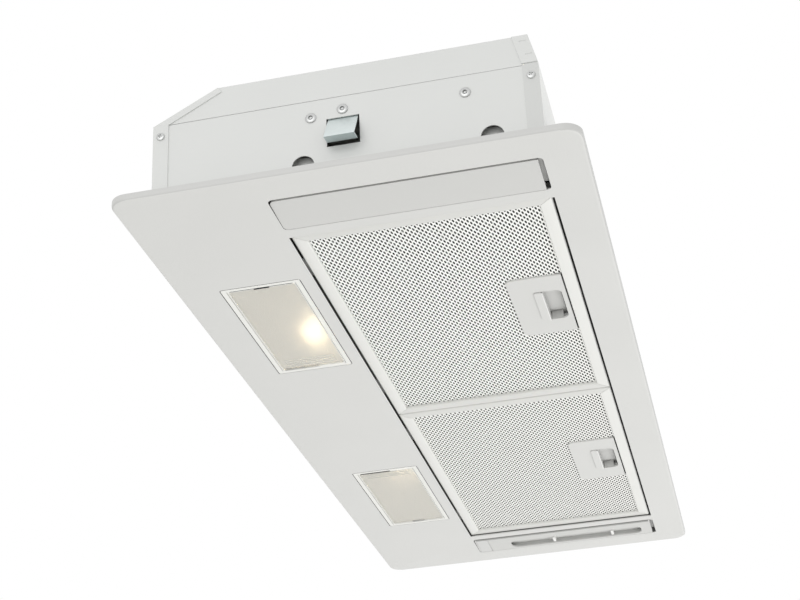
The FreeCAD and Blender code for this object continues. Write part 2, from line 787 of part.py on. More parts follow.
def terminal_box():
    """Sheet box for the mains wires, with a lipped cover, a cable gland and the motor's capacitor."""
    left, right = "-terminal_x", "-terminal_x + terminal_length"
    front, rear = "-terminal_y", "-terminal_y + terminal_depth"
    top = f"{LID_TOP} + terminal_height"
    gland_z = f"{LID_TOP} + gland_height"
    gland_y = "-terminal_y + terminal_depth / 2"
    box = Piece("terminal_box")
    box.add("XY", (LID_TOP, top), rect((left, right), (front, rear)))
    hollow_x = (f"{left} + casing_sheet", f"{right} - casing_sheet")
    hollow_y = (f"{front} + casing_sheet", f"{rear} - casing_sheet")
    box.cut("XY", (f"{LID_TOP} + casing_sheet", top), rect(hollow_x, hollow_y))
    box.cut("YZ", (left, f"{left} + casing_sheet"), circle(gland_y, gland_z, "gland_radius"))
    cover = Piece("terminal_cover")
    lip = f"{top} - terminal_lip"
    edge = "casing_sheet"
    outer = ((f"{left} - {edge}", f"{right} + {edge}"), (f"{front} - {edge}", f"{rear} + {edge}"))
    cover.add("XY", (lip, f"{top} + {edge}"), rect(*outer))
    cover.cut("XY", (lip, top), rect((left, right), (front, rear)))
    gland = Piece("cable_gland")
    nose = f"{left} - gland_length + gland_nut_length"
    bore = circle(gland_y, gland_z, "gland_bore")
    barrel = circle(gland_y, gland_z, "gland_radius - hole_gap")
    gland.add("YZ", (nose, f"{left} + gland_nut_length"), barrel, bore)
    hexagon = [
        (f"{gland_y} + gland_nut_radius * cos({60 * n})", f"{gland_z} + gland_nut_radius * sin({60 * n})")
        for n in range(6)
    ]
    gland.add("YZ", (f"{left} - gland_nut_length", left), hexagon, bore)
    capacitor = Piece("capacitor")
    start = f"{left} + terminal_length / 2 - capacitor_length / 2 + gland_nut_length"
    axis_y = f"{rear} - casing_sheet - capacitor_radius - running_gap"
    axis_z = f"{LID_TOP} + casing_sheet + capacitor_radius + running_gap / 2"
    can = circle(axis_y, axis_z, "capacitor_radius")
    capacitor.add("YZ", (start, f"{start} + capacitor_length"), can)


def lamp(name, side):
    """Reflector box over the lamp opening, a lamp holder at its inner end and the lamp itself."""
    box = Piece(f"lamp_box_{name}")
    top = f"{FACE} + lamp_box_height"
    grow = "-lamp_box_margin"
    outer = (lamp_span(side, grow), lamp_depth(grow))
    inner = (lamp_span(side, f"{grow} + casing_sheet"), lamp_depth(f"{grow} + casing_sheet"))
    box.add("XY", (FLOOR, top), rect(*outer))
    box.cut("XY", (FLOOR, f"{top} - casing_sheet"), rect(*inner))
    outer_end = "lamp_centre + lamp_open_length / 2 + lamp_box_margin"
    foot = span(side, outer_end, f"{outer_end} + lamp_box_foot")
    box.add("XY", (FLOOR, f"{FLOOR} + casing_sheet"), rect(foot, lamp_depth(grow)))
    axis_z = f"{FACE} + lamp_axis_height"
    base = "lamp_centre - lamp_open_length / 2 - lamp_box_margin + casing_sheet"
    holder = Piece(f"lamp_holder_{name}")
    place = ("-lamp_axis_y", axis_z)
    holder.add("YZ", span(side, base, f"{base} + holder_length"), circle(*place, "holder_radius"))
    bulb = Piece(f"lamp_bulb_{name}")
    start = f"{base} + holder_length"
    profile = [
        ("0", "0"),
        ("bulb_neck_radius", "0"),
        ("bulb_radius", "bulb_length / 3"),
        ("bulb_radius", "bulb_length - bulb_radius", "bulb_radius"),
        ("0", "bulb_length"),
    ]
    bulb.turn("0", "0", profile)
    bulb.place(f"{side} * ({start})", *place)
    bulb.body.Placement.Rotation = FreeCAD.Rotation(FreeCAD.Vector(0, side, 0), 90)


def lamp_lens(name, side):
    """Lamp cover: bordered face, dished centre, upright rim, clip slit and grip ribs at the inner end."""
    lens = Piece(f"lamp_lens_{name}")
    body_x, body_y = lamp_span(side, "lens_end_gap"), lamp_depth("lens_side_gap")
    lens.add("XY", (FACE, f"{FACE} + lens_sheet"), rounded(body_x, body_y, "lens_corner"))
    dish = (lamp_span(side, "lens_end_gap + lens_border"), lamp_depth("lens_side_gap + lens_border"))
    lens.cut("XY", (FACE, f"{FACE} + lens_dish"), rounded(*dish, "lens_corner"))
    rim_x = lamp_span(side, "lens_end_gap + lens_rim_wall")
    rim_y = lamp_depth("lens_side_gap + lens_rim_wall")
    hollow_x = lamp_span(side, "lens_end_gap + 2 * lens_rim_wall")
    hollow_y = lamp_depth("lens_side_gap + 2 * lens_rim_wall")
    rim_z = (f"{FACE} + lens_sheet", f"{FACE} + lens_rim_height")
    lens.add("XY", rim_z, rect(rim_x, rim_y), rect(hollow_x, hollow_y))
    slit_start = "lamp_centre + lamp_open_length / 2 - lens_end_gap - lens_slit_margin"
    middle = "(-lamp_open_rear - lamp_open_depth / 2)"
    notch_y = (f"{middle} - lens_notch_length / 2", f"{middle} + lens_notch_length / 2")
    for width, slit_y in (("lens_slit_width", lamp_depth("lens_slit_inset")), ("lens_notch_width", notch_y)):
        slit_x = span(side, f"{slit_start} - {width}", slit_start)
        lens.cut("XY", (FACE, f"{FACE} + lens_sheet"), rect(slit_x, slit_y))
    inner = "lamp_centre - lamp_open_length / 2 + lens_end_gap + lens_border"
    rib_y = lamp_depth("lens_side_gap + 2 * lens_border")
    ribs = []
    for number in range(1, SIZES["grip_rib_count"] + 1):
        start = f"{inner} + {number} * grip_rib_pitch"
        ribs.append(rect(span(side, start, f"{start} + grip_rib_width"), rib_y))
    lens.add("XY", (f"{FACE} + lens_dish / 2", f"{FACE} + lens_dish"), *ribs)


def panel_section(start, thickness):
    """Section of an end panel: flush at one long side, and set in by the drop beside the gap at the other."""
    end = "(recess_width - panel_gap - panel_side_gap)"
    wall = f"{FACE} + panel_drop + panel_wall"
    return [
        (start, FACE),
        (f"{start} + {end}", f"{FACE} + panel_drop"),
        (f"{start} + {end}", wall),
        (f"{start} + {end} - {thickness}", wall),
        (f"{start} + {end} - {thickness}", f"{FACE} + panel_drop + {thickness}"),
        (f"{start} + {thickness}", f"{FACE} + {thickness}"),
        (f"{start} + {thickness}", wall),
        (start, wall),
    ]


def end_panel(name, side):
    """Inclined panel that fills an end recess but for a gap at one long side and at its rear end."""
    panel = Piece(name)
    start = "recess_inner + panel_gap" if side > 0 else "-recess_outer + panel_gap"
    end = f"{start} + recess_width - panel_gap - panel_side_gap"
    front = "-filter_open_front + panel_front_gap"
    section = panel_section(start, "panel_sheet")
    panel.add("XZ", (front, "filter_open_rear - panel_end_gap"), section)
    panel.add("XZ", (front, f"{front} + panel_sheet"), section[:3] + section[-1:])
    radius = "recess_corner"
    left = [(start, front), (f"{start} + {radius}", front, f"-{radius}"), (start, f"{front} + {radius}")]
    right = [(end, front), (end, f"{front} + {radius}", f"-{radius}"), (f"{end} - {radius}", front)]
    panel.cut("XY", (FACE, f"{FACE} + panel_drop + panel_wall"), left, right)
    return panel


def controls():
    """Control panel with a long slot, two slide switches behind it, their knobs and a bare tile."""
    panel = end_panel("control_panel", -1)
    slot_x = ("-slot_outer", "-slot_inner")
    high = f"{FACE} + panel_drop + panel_sheet"
    lower = f"{FACE} + switch_level"
    panel.cut("XY", (FACE, high), rounded(slot_x, ("-slot_front", "slot_rear"), "slot_corner"))
    front = "-filter_open_front + panel_front_gap + panel_sheet"
    panel.cut("XZ", (front, f"{front} + tile_depth + 2 * tile_gap"), tile_section("tile_gap"))
    tile = Piece("control_tile")
    tile.add("XZ", (f"{front} + tile_gap", f"{front} + tile_gap + tile_depth"), tile_section("0"))
    middle = "-(slot_outer + slot_inner) / 2"
    body_x = ("-recess_outer + panel_gap + panel_sheet", "-recess_inner - panel_side_gap - panel_sheet")
    depths = {
        "lamp": ("-slot_front - switch_lap", "switch_split"),
        "fan": ("switch_split", "slot_rear + switch_lap"),
    }
    for name, depth in depths.items():
        knob_y = f"{name}_knob_y"
        block = Piece(f"{name}_switch")
        block.add("XY", (lower, f"{lower} + switch_height"), rect(body_x, depth))
        room = "stem_width / 2 + running_gap"
        groove_x = (f"{middle} - ({room})", f"{middle} + {room}")
        reach = "stem_length / 2 + running_gap"
        groove_y = (f"{knob_y} - {name}_travel_back - ({reach})", f"{knob_y} + {name}_travel_on + {reach}")
        block.cut("XY", (lower, f"{lower} + stem_height + running_gap"), rect(groove_x, groove_y))
        knob = Piece(f"{name}_knob")
        blade = [
            ("-slot_outer + knob_gap", f"{FACE} + knob_gap"),
            ("-slot_inner - knob_gap", f"{FACE} + panel_drop - knob_gap"),
            ("-slot_inner - knob_gap", f"{lower} - running_gap"),
            ("-slot_outer + knob_gap", f"{lower} - running_gap"),
        ]
        knob.add("XZ", (f"{knob_y} - knob_sheet / 2", f"{knob_y} + knob_sheet / 2"), blade)
        stem = rect(
            (f"{middle} - stem_width / 2", f"{middle} + stem_width / 2"),
            (f"{knob_y} - stem_length / 2", f"{knob_y} + stem_length / 2"),
        )
        knob.add("XY", (f"{lower} - running_gap", f"{lower} + stem_height"), stem)


def tile_section(room):
    """Section of the bare tile let into the inclined face, with room at its ends."""
    low, high = f"-tile_outer - {room}", f"-tile_inner + {room}"
    start = "(-recess_outer + panel_gap)"
    slope = "panel_drop / (recess_width - panel_gap - panel_side_gap)"
    low_z, high_z = (f"{FACE} + ({x} - {start}) * {slope}" for x in (low, high))
    return [(low, low_z), (high, high_z), (high, f"{high_z} + tile_sheet"), (low, f"{low_z} + tile_sheet")]


def filter_x(side, inset):
    """Length of a filter less an inset at each end."""
    return span(side, f"filter_seam / 2 + {inset}", f"filter_open_length / 2 - filter_gap - ({inset})")


def filter_y(inset):
    """Depth of a filter less an inset at each side."""
    front = f"-filter_open_front + filter_front_gap + {inset}"
    return front, f"filter_open_rear - filter_rear_gap - ({inset})"


FILTER_LOW = f"{FACE} + filter_drop"
FILTER_TOP = f"{FACE} + filter_drop + filter_height"
MESH_LOW = f"{FILTER_LOW} + mesh_recess"
TONGUE_LOW = f"{FILTER_LOW} + tongue_level"
FILTER_MIDDLE = "(filter_seam / 2 + filter_open_length / 2 - filter_gap) / 2"
FRAME_REAR = "(filter_open_rear - filter_rear_gap)"
LATCH_REAR = f"({FRAME_REAR} - frame_face - latch_gap)"


def latch_x(side, half):
    """Interval about the middle of a filter's length, where its latch is."""
    middle = f"{side} * {FILTER_MIDDLE}"
    return f"{middle} - ({half})", f"{middle} + {half}"


def filter_parts(name, side):
    """Grease filter: folded frame with hooked tongues, perforated face, layers of mesh and a back sheet."""
    frame = Piece(f"filter_frame_{name}")
    frame.add("XY", (FILTER_LOW, FILTER_TOP), rect(filter_x(side, "0"), filter_y("0")))
    frame.cut("XY", (FILTER_LOW, FILTER_TOP), rect(filter_x(side, "frame_face"), filter_y("frame_face")))
    hollow = (f"{FILTER_LOW} + frame_sheet", f"{FILTER_TOP} - frame_sheet")
    frame.cut("XY", hollow, rect(filter_x(side, "frame_sheet"), filter_y("frame_sheet")))
    slot_y = (f"{FRAME_REAR} - frame_sheet", FRAME_REAR)
    slot = rect(latch_x(side, "bolt_length / 2 + running_gap"), slot_y)
    frame.cut("XY", (MESH_LOW, f"{MESH_LOW} + arm_height + 2 * running_gap"), slot)
    frame_front = filter_y("0")[0]
    tongue_front = f"{frame_front} - tongue_reach"
    for place in (f"{FILTER_MIDDLE} - tongue_place", f"{FILTER_MIDDLE} + tongue_place"):
        tongue_x = span(side, f"{place} - tongue_width / 2", f"{place} + tongue_width / 2")
        tongue = rect(tongue_x, (tongue_front, frame_front))
        frame.add("XY", (TONGUE_LOW, f"{TONGUE_LOW} + frame_sheet"), tongue)
        tip = rect(tongue_x, (tongue_front, f"{tongue_front} + frame_sheet"))
        frame.add("XY", (f"{FLOOR} + running_gap", TONGUE_LOW), tip)
    inset = "frame_sheet + mesh_gap"
    sheet_edge = rect(filter_x(side, inset), filter_y(inset))
    window_x = latch_x(side, "pocket_length / 2 + arm_margin + pocket_wall + mesh_gap")
    window_front = f"{LATCH_REAR} - pocket_depth - 2 * pocket_margin - pocket_wall - mesh_gap"
    window = rect(window_x, (window_front, "filter_open_rear"))
    strip_y = (f"{LATCH_REAR} - latch_gap", f"{LATCH_REAR} + 2 * latch_gap")
    strip = rect(latch_x(side, "latch_length / 2 - latch_gap"), strip_y)
    mesh = Piece(f"filter_face_{name}")
    mesh.add("XY", (MESH_LOW, f"{MESH_LOW} + mesh_sheet"), sheet_edge)
    mesh.cut("XY", (MESH_LOW, f"{MESH_LOW} + mesh_sheet"), window)
    mesh.cut("XY", (MESH_LOW, f"{MESH_LOW} + mesh_sheet"), strip)
    pack = Piece(f"filter_pack_{name}")
    pack_low = f"{MESH_LOW} + mesh_sheet"
    pack_top = f"{FILTER_TOP} - frame_sheet - mesh_sheet"
    pitch = f"(({pack_top}) - ({pack_low})) / (mesh_layers + 1)"
    for layer in range(1, SIZES["mesh_layers"] + 1):
        layer_low = f"{pack_low} + {layer} * {pitch} - layer_sheet / 2"
        pack.add("XY", (layer_low, f"{layer_low} + layer_sheet"), sheet_edge)
    pack.cut("XY", (pack_low, pack_top), window)
    back = Piece(f"filter_back_{name}")
    back.add("XY", (pack_top, f"{FILTER_TOP} - frame_sheet"), sheet_edge)


def pocket_mouth(side, front, rear):
    """Mouth of the finger pocket, round at its rear corners."""
    left, right = latch_x(side, "pocket_length / 2")
    radius = "latch_corner"
    return [
        (left, front), (right, front),
        (right, f"{rear} - {radius}", radius), (f"{right} - {radius}", rear),
        (f"{left} + {radius}", rear, radius), (left, f"{rear} - {radius}"),
    ]


def front_rounded(x_span, y_span, radius):
    """Rectangle that is round at its front corners alone."""
    (left, right), (front, rear) = x_span, y_span
    return [
        (f"{left} + {radius}", front), (f"{right} - {radius}", front, radius),
        (right, f"{front} + {radius}"), (right, rear), (left, rear),
        (left, f"{front} + {radius}", radius),
    ]


def latch(name, side):
    """Latch plate with a finger pocket, and the slider with its lip, finger wall, arms and bolt."""
    low = f"{MESH_LOW} - latch_sheet"
    pocket_rear = f"{LATCH_REAR} - pocket_margin"
    pocket_front = f"{pocket_rear} - pocket_depth"
    wall_front = f"{pocket_front} + latch_travel + running_gap"
    wall_y = (wall_front, f"{wall_front} + finger_wall")
    plate = Piece(f"latch_plate_{name}")
    plate_y = (f"{LATCH_REAR} - latch_depth", LATCH_REAR)
    plate_x = latch_x(side, "latch_length / 2")
    plate.add("XY", (low, MESH_LOW), front_rounded(plate_x, plate_y, "latch_corner"))
    roof = f"{low} + pocket_height"
    case_x, hollow_x = (
        latch_x(side, f"pocket_length / 2 + arm_margin + {wall}") for wall in ("pocket_wall", "0")
    )
    case_y = (f"{pocket_front} - pocket_margin - pocket_wall", LATCH_REAR)
    hollow_y = (f"{pocket_front} - pocket_margin", f"{LATCH_REAR} - pocket_wall")
    plate.add("XY", (MESH_LOW, f"{roof} + pocket_wall"), rect(case_x, case_y))
    plate.cut("XY", (MESH_LOW, roof), rect(hollow_x, hollow_y))
    left, right = latch_x(side, "pocket_length / 2")
    end_y = (f"{wall_y[1]} + running_gap", f"{pocket_rear} - latch_travel")
    end_walls = [rect((f"{left} - pocket_wall", left), end_y), rect((right, f"{right} + pocket_wall"), end_y)]
    plate.add("XY", (MESH_LOW, roof), *end_walls)
    slots = [rect((left, f"{left} + pocket_slot"), end_y), rect((f"{right} - pocket_slot", right), end_y)]
    plate.cut("XY", (roof, f"{roof} + pocket_wall"), *slots)
    plate.cut("XY", (low, MESH_LOW), pocket_mouth(side, pocket_front, pocket_rear))
    bolt_low = f"{MESH_LOW} + running_gap"
    bolt_top = f"{bolt_low} + arm_height"
    bolt_x = latch_x(side, "bolt_length / 2")
    opening_x = latch_x(side, "bolt_length / 2 + running_gap")
    opening = rect(opening_x, (f"{LATCH_REAR} - pocket_wall", LATCH_REAR))
    plate.cut("XY", (MESH_LOW, f"{bolt_top} + running_gap"), opening)
    slider = Piece(f"latch_slider_{name}")
    lip_low = f"{low} - lip_gap - lip_sheet"
    lip_x = latch_x(side, "pocket_length / 2 - running_gap")
    cover_x = latch_x(side, "pocket_length / 2")
    lip = front_rounded(cover_x, (f"{wall_y[1]} - lip_depth", wall_y[1]), "latch_corner")
    slider.add("XY", (lip_low, f"{low} - lip_gap"), lip)
    slider.add("XY", (lip_low, bolt_top), rect(lip_x, wall_y))
    arm_out = "pocket_length / 2 + arm_margin - running_gap"
    slider.add("XY", (bolt_low, bolt_top), rect(latch_x(side, arm_out), wall_y))
    bar_y = (f"{pocket_rear} + running_gap", f"{LATCH_REAR} - pocket_wall - running_gap")
    arm_y = (wall_front, bar_y[1])
    left, right = latch_x(side, arm_out)
    arms = [rect((left, f"{left} + arm_width"), arm_y), rect((f"{right} - arm_width", right), arm_y)]
    slider.add("XY", (bolt_low, bolt_top), *arms)
    slider.add("XY", (bolt_low, bolt_top), rect(latch_x(side, arm_out), bar_y))
    slider.add("XY", (bolt_low, bolt_top), rect(bolt_x, (bar_y[0], "filter_open_rear - bolt_gap")))


def spring_clip(name, side):
    """Sprung cut-out clip: a base riveted inside the end wall and a bent tab through the window."""
    half = symmetric("clip_width / 2")
    inside = f"{HALF} - casing_sheet"
    window_top = f"{FACE} + clip_window_high"
    base = Piece(f"clip_base_{name}")
    leg = span(side, f"{inside} - clip_sheet", inside)
    base.add("YZ", leg, rect(half, (window_top, f"{window_top} + clip_base_height")))
    base.cut("YZ", leg, circle("0", f"{FACE} + clip_rivet_height", RIVET_HOLE))
    tab = Piece(f"clip_tab_{name}")
    low = f"{FACE} + clip_apex_height"
    lip = f"{FACE} + clip_lip_height"
    root = f"{inside} - clip_sheet"
    top = f"{window_top} - clip_gap"
    section = [
        (root, top),
        (f"{root} + clip_sheet", top),
        (f"{HALF} + clip_reach", low),
        (f"{HALF} + clip_lip_reach", lip),
        (f"{HALF} + clip_lip_reach", f"{lip} + clip_sheet"),
        (f"{HALF} + clip_reach - 2 * clip_sheet", f"{low} + 1.25 * clip_sheet"),
    ]
    profile = section if side > 0 else [(f"-({x})", z) for x, z in reversed(section)]
    tab.add("XZ", half, profile)


def heads(name, groups, head, height, shank):
    """Fasteners of one kind: low heads on a surface with shanks through their holes."""
    piece = Piece(name)
    for plane, surface, away, places in groups:
        head_span = (surface, f"{surface} + {height}") if away > 0 else (f"{surface} - {height}", surface)
        inward = (f"{surface} - shank_length", surface)
        shank_span = inward if away > 0 else (surface, f"{surface} + shank_length")
        piece.add(plane, head_span, *[circle(*place, head) for place in places])
        piece.add(plane, shank_span, *[circle(*place, shank) for place in places])


def fasteners():
    """Rivets and corner screws of the end walls."""
    walls = [("YZ", f"{side} * {HALF}", side, rivet_places()) for side in ENDS.values()]
    heads("end_rivets", walls, "rivet_head_radius", "rivet_head_height", "rivet_shank_radius")
    corners = [("YZ", f"{side} * ({HALF} + casing_sheet)", side, screw_places()) for side in ENDS.values()]
    heads("corner_screws", corners, "corner_head_radius", "corner_head_height", "screw_shank_radius")
    collar = [("XY", f"{BOX_TOP} + collar_wall", 1, collar_screw_places())]
    heads("collar_screws", collar, "screw_head_radius", "screw_head_height", "screw_shank_radius")
    seat = "scroll_axis_y + scroll_width / 2 + bracket_sheet"
    bracket = [("XZ", seat, 1, [bracket_hole(angle) for angle in BRACKET_ANGLES])]
    heads("motor_screws", bracket, "screw_head_radius", "screw_head_height", "screw_shank_radius")


face_plate()
long_wall("front_wall", -1)
long_wall("rear_wall", 1)
top_cover()
blower_box()
scroll_housing()
impeller()
motor()
duct_collar()
damper()
terminal_box()
controls()
end_panel("blank_panel", 1)
for end_name, end_side in ENDS.items():
    end_wall(f"end_wall_{end_name}", end_side)
    lamp(end_name, end_side)
    lamp_lens(end_name, end_side)
    filter_parts(end_name, end_side)
    latch(end_name, end_side)
    spring_clip(end_name, end_side)
fasteners()

doc.recompute()
broken = [item.Name for item in doc.Objects if {"Invalid", "Error"} & set(item.State)]
bodies = [item for item in doc.Objects if item.TypeId == "PartDesign::Body"]
broken += [body.Label for body in bodies if body.Shape.isNull() or not body.Shape.isValid()]
if broken:
    raise RuntimeError(f"not built: {broken}")
for body in bodies:
    body.Shape.exportStep(f"parts/{body.Label}.step")
print(len(bodies), "sub-parts")
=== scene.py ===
"""Built-in range hood: finishes, perforated filters, lamp covers and studio round the frame."""
import json
import logging
import math
from collections.abc import Callable, Iterable, Sequence
from dataclasses import dataclass, replace
from enum import Enum

import bmesh
import bpy
from mathutils import Matrix, Vector


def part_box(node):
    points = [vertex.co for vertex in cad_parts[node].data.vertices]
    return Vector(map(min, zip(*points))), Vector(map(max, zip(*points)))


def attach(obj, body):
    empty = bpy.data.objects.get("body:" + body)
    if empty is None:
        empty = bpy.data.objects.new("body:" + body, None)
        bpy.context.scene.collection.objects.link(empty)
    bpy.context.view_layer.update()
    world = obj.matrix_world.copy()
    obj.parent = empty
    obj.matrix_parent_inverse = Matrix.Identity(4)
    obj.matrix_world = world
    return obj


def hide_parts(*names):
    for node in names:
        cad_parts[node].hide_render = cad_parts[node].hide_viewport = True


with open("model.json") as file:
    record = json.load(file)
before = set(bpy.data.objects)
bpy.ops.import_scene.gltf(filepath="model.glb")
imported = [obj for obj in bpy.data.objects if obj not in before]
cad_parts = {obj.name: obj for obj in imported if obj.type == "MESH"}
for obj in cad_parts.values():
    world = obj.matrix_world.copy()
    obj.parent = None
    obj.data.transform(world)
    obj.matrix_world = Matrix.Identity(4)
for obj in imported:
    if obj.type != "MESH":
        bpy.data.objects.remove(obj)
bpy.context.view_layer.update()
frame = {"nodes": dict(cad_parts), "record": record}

LOG = logging.getLogger("range_hood")
BODIES = frame["record"]["behaviour"]["bodies"]
BODY_OF = {node: body for body, nodes in BODIES.items() for node in nodes}

MM = 0.001
PAST = 1 * MM  # how far a cutter reaches past the surface that it cuts
WELD = 1e-6  # corners nearer than this, in metres, are one
SQUARE = 0.9  # least cosine between an axis and the normal of a face that is square to it
LEANING = 0.5  # least cosine for a face that looks along an axis rather than across it
CORNER_STEPS = 6  # facets of a rounded corner

Tree = bpy.types.NodeTree
Node = bpy.types.Node
Socket = bpy.types.NodeSocket
Piece = bpy.types.Object
Mesh = bpy.types.Mesh
Face = bpy.types.MeshPolygon
Shape = bmesh.types.BMesh
Point = tuple[float, float]
Place = tuple[float, float, float]
Gap = tuple[Point, Point]


class End(Enum):
    """The two ends of the hood, each with the sign of its X."""

    BLANK = 1
    CONTROL = -1

    def node(self, stem: str) -> str:
        """Name of this end's CAD node."""
        return f"{stem}_{self.name.lower()}"


class Axis(Enum):
    """Direction in which a fastener's head faces."""

    OUTWARD_X = "x"
    UP = "z"
    REAR = "y"


def linear(hex_code: str) -> tuple[float, float, float, float]:
    """Turn an sRGB hex colour to linear.

    Args:
        hex_code: six hex digits after a hash sign.

    Returns:
        Red, green, blue and a full alpha.
    """
    parts = [int(hex_code[start:start + 2], 16) / 255 for start in (1, 3, 5)]
    red, green, blue = (c / 12.92 if c <= 0.04045 else ((c + 0.055) / 1.055) ** 2.4 for c in parts)
    return red, green, blue, 1.0


def per_metre(size_mm: float) -> float:
    """Texture scale, in features per metre, for a feature of a real size in millimetres."""
    return 1 / (size_mm * MM)


def add_node(
    tree: Tree, kind: str, settings: dict | None = None, links: dict | None = None
) -> Node:
    """Add a node with its settings and links.

    Args:
        tree: the node tree that takes it.
        kind: the node's type name.
        settings: attribute or input names with their values.
        links: input names or numbers with the output sockets that feed them.

    Returns:
        The new node.
    """
    node = tree.nodes.new(kind)
    for name, value in (settings or {}).items():
        if hasattr(node, name):
            setattr(node, name, value)
        else:
            node.inputs[name].default_value = value
    for name, output in (links or {}).items():
        tree.links.new(output, node.inputs[name])
    return node


@dataclass(frozen=True)
class Finish:
    """A surface: what it is made of, and the two patterns that the eye reads on it.

    The grain is a fine relief. The cloud is a slow change of tone and gloss over the surface.
    """

    name: str
    colour: str
    roughness: float
    metallic: float = 0.0
    ior: float = 1.5
    grain_mm: float = 1.2
    grain_depth: float = 0.04
    stretch: Place = (1.0, 1.0, 1.0)
    cloud_mm: float = 90.0
    cloud_share: float = 0.03
    gloss_share: float = 0.06
    coat: float = 0.0
    transmission: float = 0.0

    def material(self) -> bpy.types.Material:
        """Give the material of this finish, made once."""
        known = bpy.data.materials.get(self.name)
        return known if known else self.build()

    def build(self) -> bpy.types.Material:
        """Make the material from its nodes.

        Returns:
            The new material.
        """
        made = bpy.data.materials.new(self.name)
        made.use_nodes = True
        tree = made.node_tree
        shader = tree.nodes["Principled BSDF"]
        shader.inputs["Metallic"].default_value = self.metallic
        shader.inputs["Coat Weight"].default_value = self.coat
        shader.inputs["Transmission Weight"].default_value = self.transmission
        if not self.metallic:
            shader.inputs["IOR"].default_value = self.ior
        place = add_node(tree, "ShaderNodeTexCoord").outputs["Object"]
        rolled = add_node(tree, "ShaderNodeMapping", {"Scale": self.stretch}, {"Vector": place})
        self.tone(tree, shader, place)
        self.relief(tree, shader, rolled.outputs["Vector"])
        return made

    def tone(self, tree: Tree, shader: Node, place: Socket) -> None:
        """Vary colour and gloss slowly over the surface.

        Args:
            tree: the material's nodes.
            shader: the shader that takes colour and roughness.
            place: position on the object.
        """
        cloud = self.cloud(tree, place)
        ramp = add_node(tree, "ShaderNodeValToRGB", {}, {"Fac": cloud})
        for stop, sign in zip(ramp.color_ramp.elements, (-1, 1)):
            shade = 1 + sign * self.cloud_share
            stop.color = [channel * shade for channel in linear(self.colour)[:3]] + [1.0]
        tree.links.new(ramp.outputs["Color"], shader.inputs["Base Color"])
        low, high = (self.roughness * (1 + sign * self.gloss_share) for sign in (-1, 1))
        reach = {"To Min": low, "To Max": high}
        gloss = add_node(tree, "ShaderNodeMapRange", reach, {"Value": cloud})
        tree.links.new(gloss.outputs["Result"], shader.inputs["Roughness"])

    def cloud(self, tree: Tree, place: Socket) -> Socket:
        """Slow pattern, from 0 to 1."""
        settings = {"Scale": per_metre(self.cloud_mm), "Detail": 3.0}
        return add_node(tree, "ShaderNodeTexNoise", settings, {"Vector": place}).outputs["Fac"]

    def relief(self, tree: Tree, shader: Node, place: Socket) -> None:
        """Add the fine grain as a bump.

        Args:
            tree: the material's nodes.
            shader: the shader that takes the bump.
            place: position on the object, stretched along the rolling.
        """
        settings = {"Scale": per_metre(self.grain_mm), "Detail": 2.0}
        grain = add_node(tree, "ShaderNodeTexNoise", settings, {"Vector": place})
        depth = {"Strength": self.grain_depth, "Distance": self.grain_mm * MM}
        bump = add_node(tree, "ShaderNodeBump", depth, {"Height": grain.outputs["Fac"]})
        tree.links.new(bump.outputs["Normal"], shader.inputs["Normal"])

    def dress(self, piece: Piece) -> None:
        """Put this finish alone on a piece.

        Args:
            piece: the object to dress.
        """
        if not piece.material_slots:
            piece.data.materials.append(self.material())
        for slot in piece.material_slots:
            slot.material = self.material()


@dataclass(frozen=True)
class ZincSheet(Finish):
    """Hot-dip zinc on steel sheet: flat crystals of slightly different grey, the spangle."""

    metallic: float = 1.0
    cloud_mm: float = 14.0
    cloud_share: float = 0.05
    gloss_share: float = 0.15

    def cloud(self, tree: Tree, place: Socket) -> Socket:
        """Lay out the crystals as cells of one tone each.

        Args:
            tree: the material's nodes.
            place: position on the object.

        Returns:
            The cells' tone, from 0 to 1.
        """
        size = {"Scale": per_metre(self.cloud_mm)}
        cells = add_node(tree, "ShaderNodeTexVoronoi", size, {"Vector": place})
        grey = add_node(tree, "ShaderNodeSeparateColor", {}, {"Color": cells.outputs["Color"]})
        return grey.outputs["Red"]


@dataclass(frozen=True)
class LitGlass(Finish):
    """Lamp glass that glows most near its filament."""

    centre: Place = (0.0, 0.0, 0.0)
    reach_mm: Place = (26.0, 13.0, 13.0)
    glow_colour: str = "#FFF0D6"
    dim: float = 0.5
    peak: float = 80.0

    def relief(self, tree: Tree, shader: Node, place: Socket) -> None:
        """Fade the glow with distance from the filament.

        Args:
            tree: the material's nodes.
            shader: the shader that takes the glow.
            place: position on the object.
        """
        shader.inputs["Emission Color"].default_value = linear(self.glow_colour)
        sizes = [reach * MM for reach in self.reach_mm]
        offset = [-value / size for value, size in zip(self.centre, sizes)]
        settings = {"Location": offset, "Scale": [1 / size for size in sizes]}
        moved = add_node(tree, "ShaderNodeMapping", settings, {"Vector": place})
        kind = {"gradient_type": "SPHERICAL"}
        ball = add_node(tree, "ShaderNodeTexGradient", kind, {"Vector": moved.outputs["Vector"]})
        reach = {"To Min": self.dim, "To Max": self.peak}
        glow = add_node(tree, "ShaderNodeMapRange", reach, {"Value": ball.outputs["Fac"]})
        tree.links.new(glow.outputs["Result"], shader.inputs["Emission Strength"])


# Stoved enamel on pressed steel: even, satin, with a faint orange peel.
PLATE_ENAMEL = Finish(
    "stoved_enamel_light_grey", "#DADAD8", 0.42, grain_mm=1.6, grain_depth=0.03, coat=0.1
)
# The same enamel over the rolled rim, painted darker as painted shade on the rim.
RIM_SHADE_ENAMEL = replace(PLATE_ENAMEL, name="stoved_enamel_rim", colour="#C9C9C7", roughness=0.45)
# Walls of the plate's openings: painted shade, dark as the gaps round the filters, lamp covers and
# panels.
OPENING_SHADE_STEEL = Finish(
    "bare_steel_return", "#4C4C4B", 0.6, metallic=0.6, grain_mm=1.0, cloud_share=0.08
)
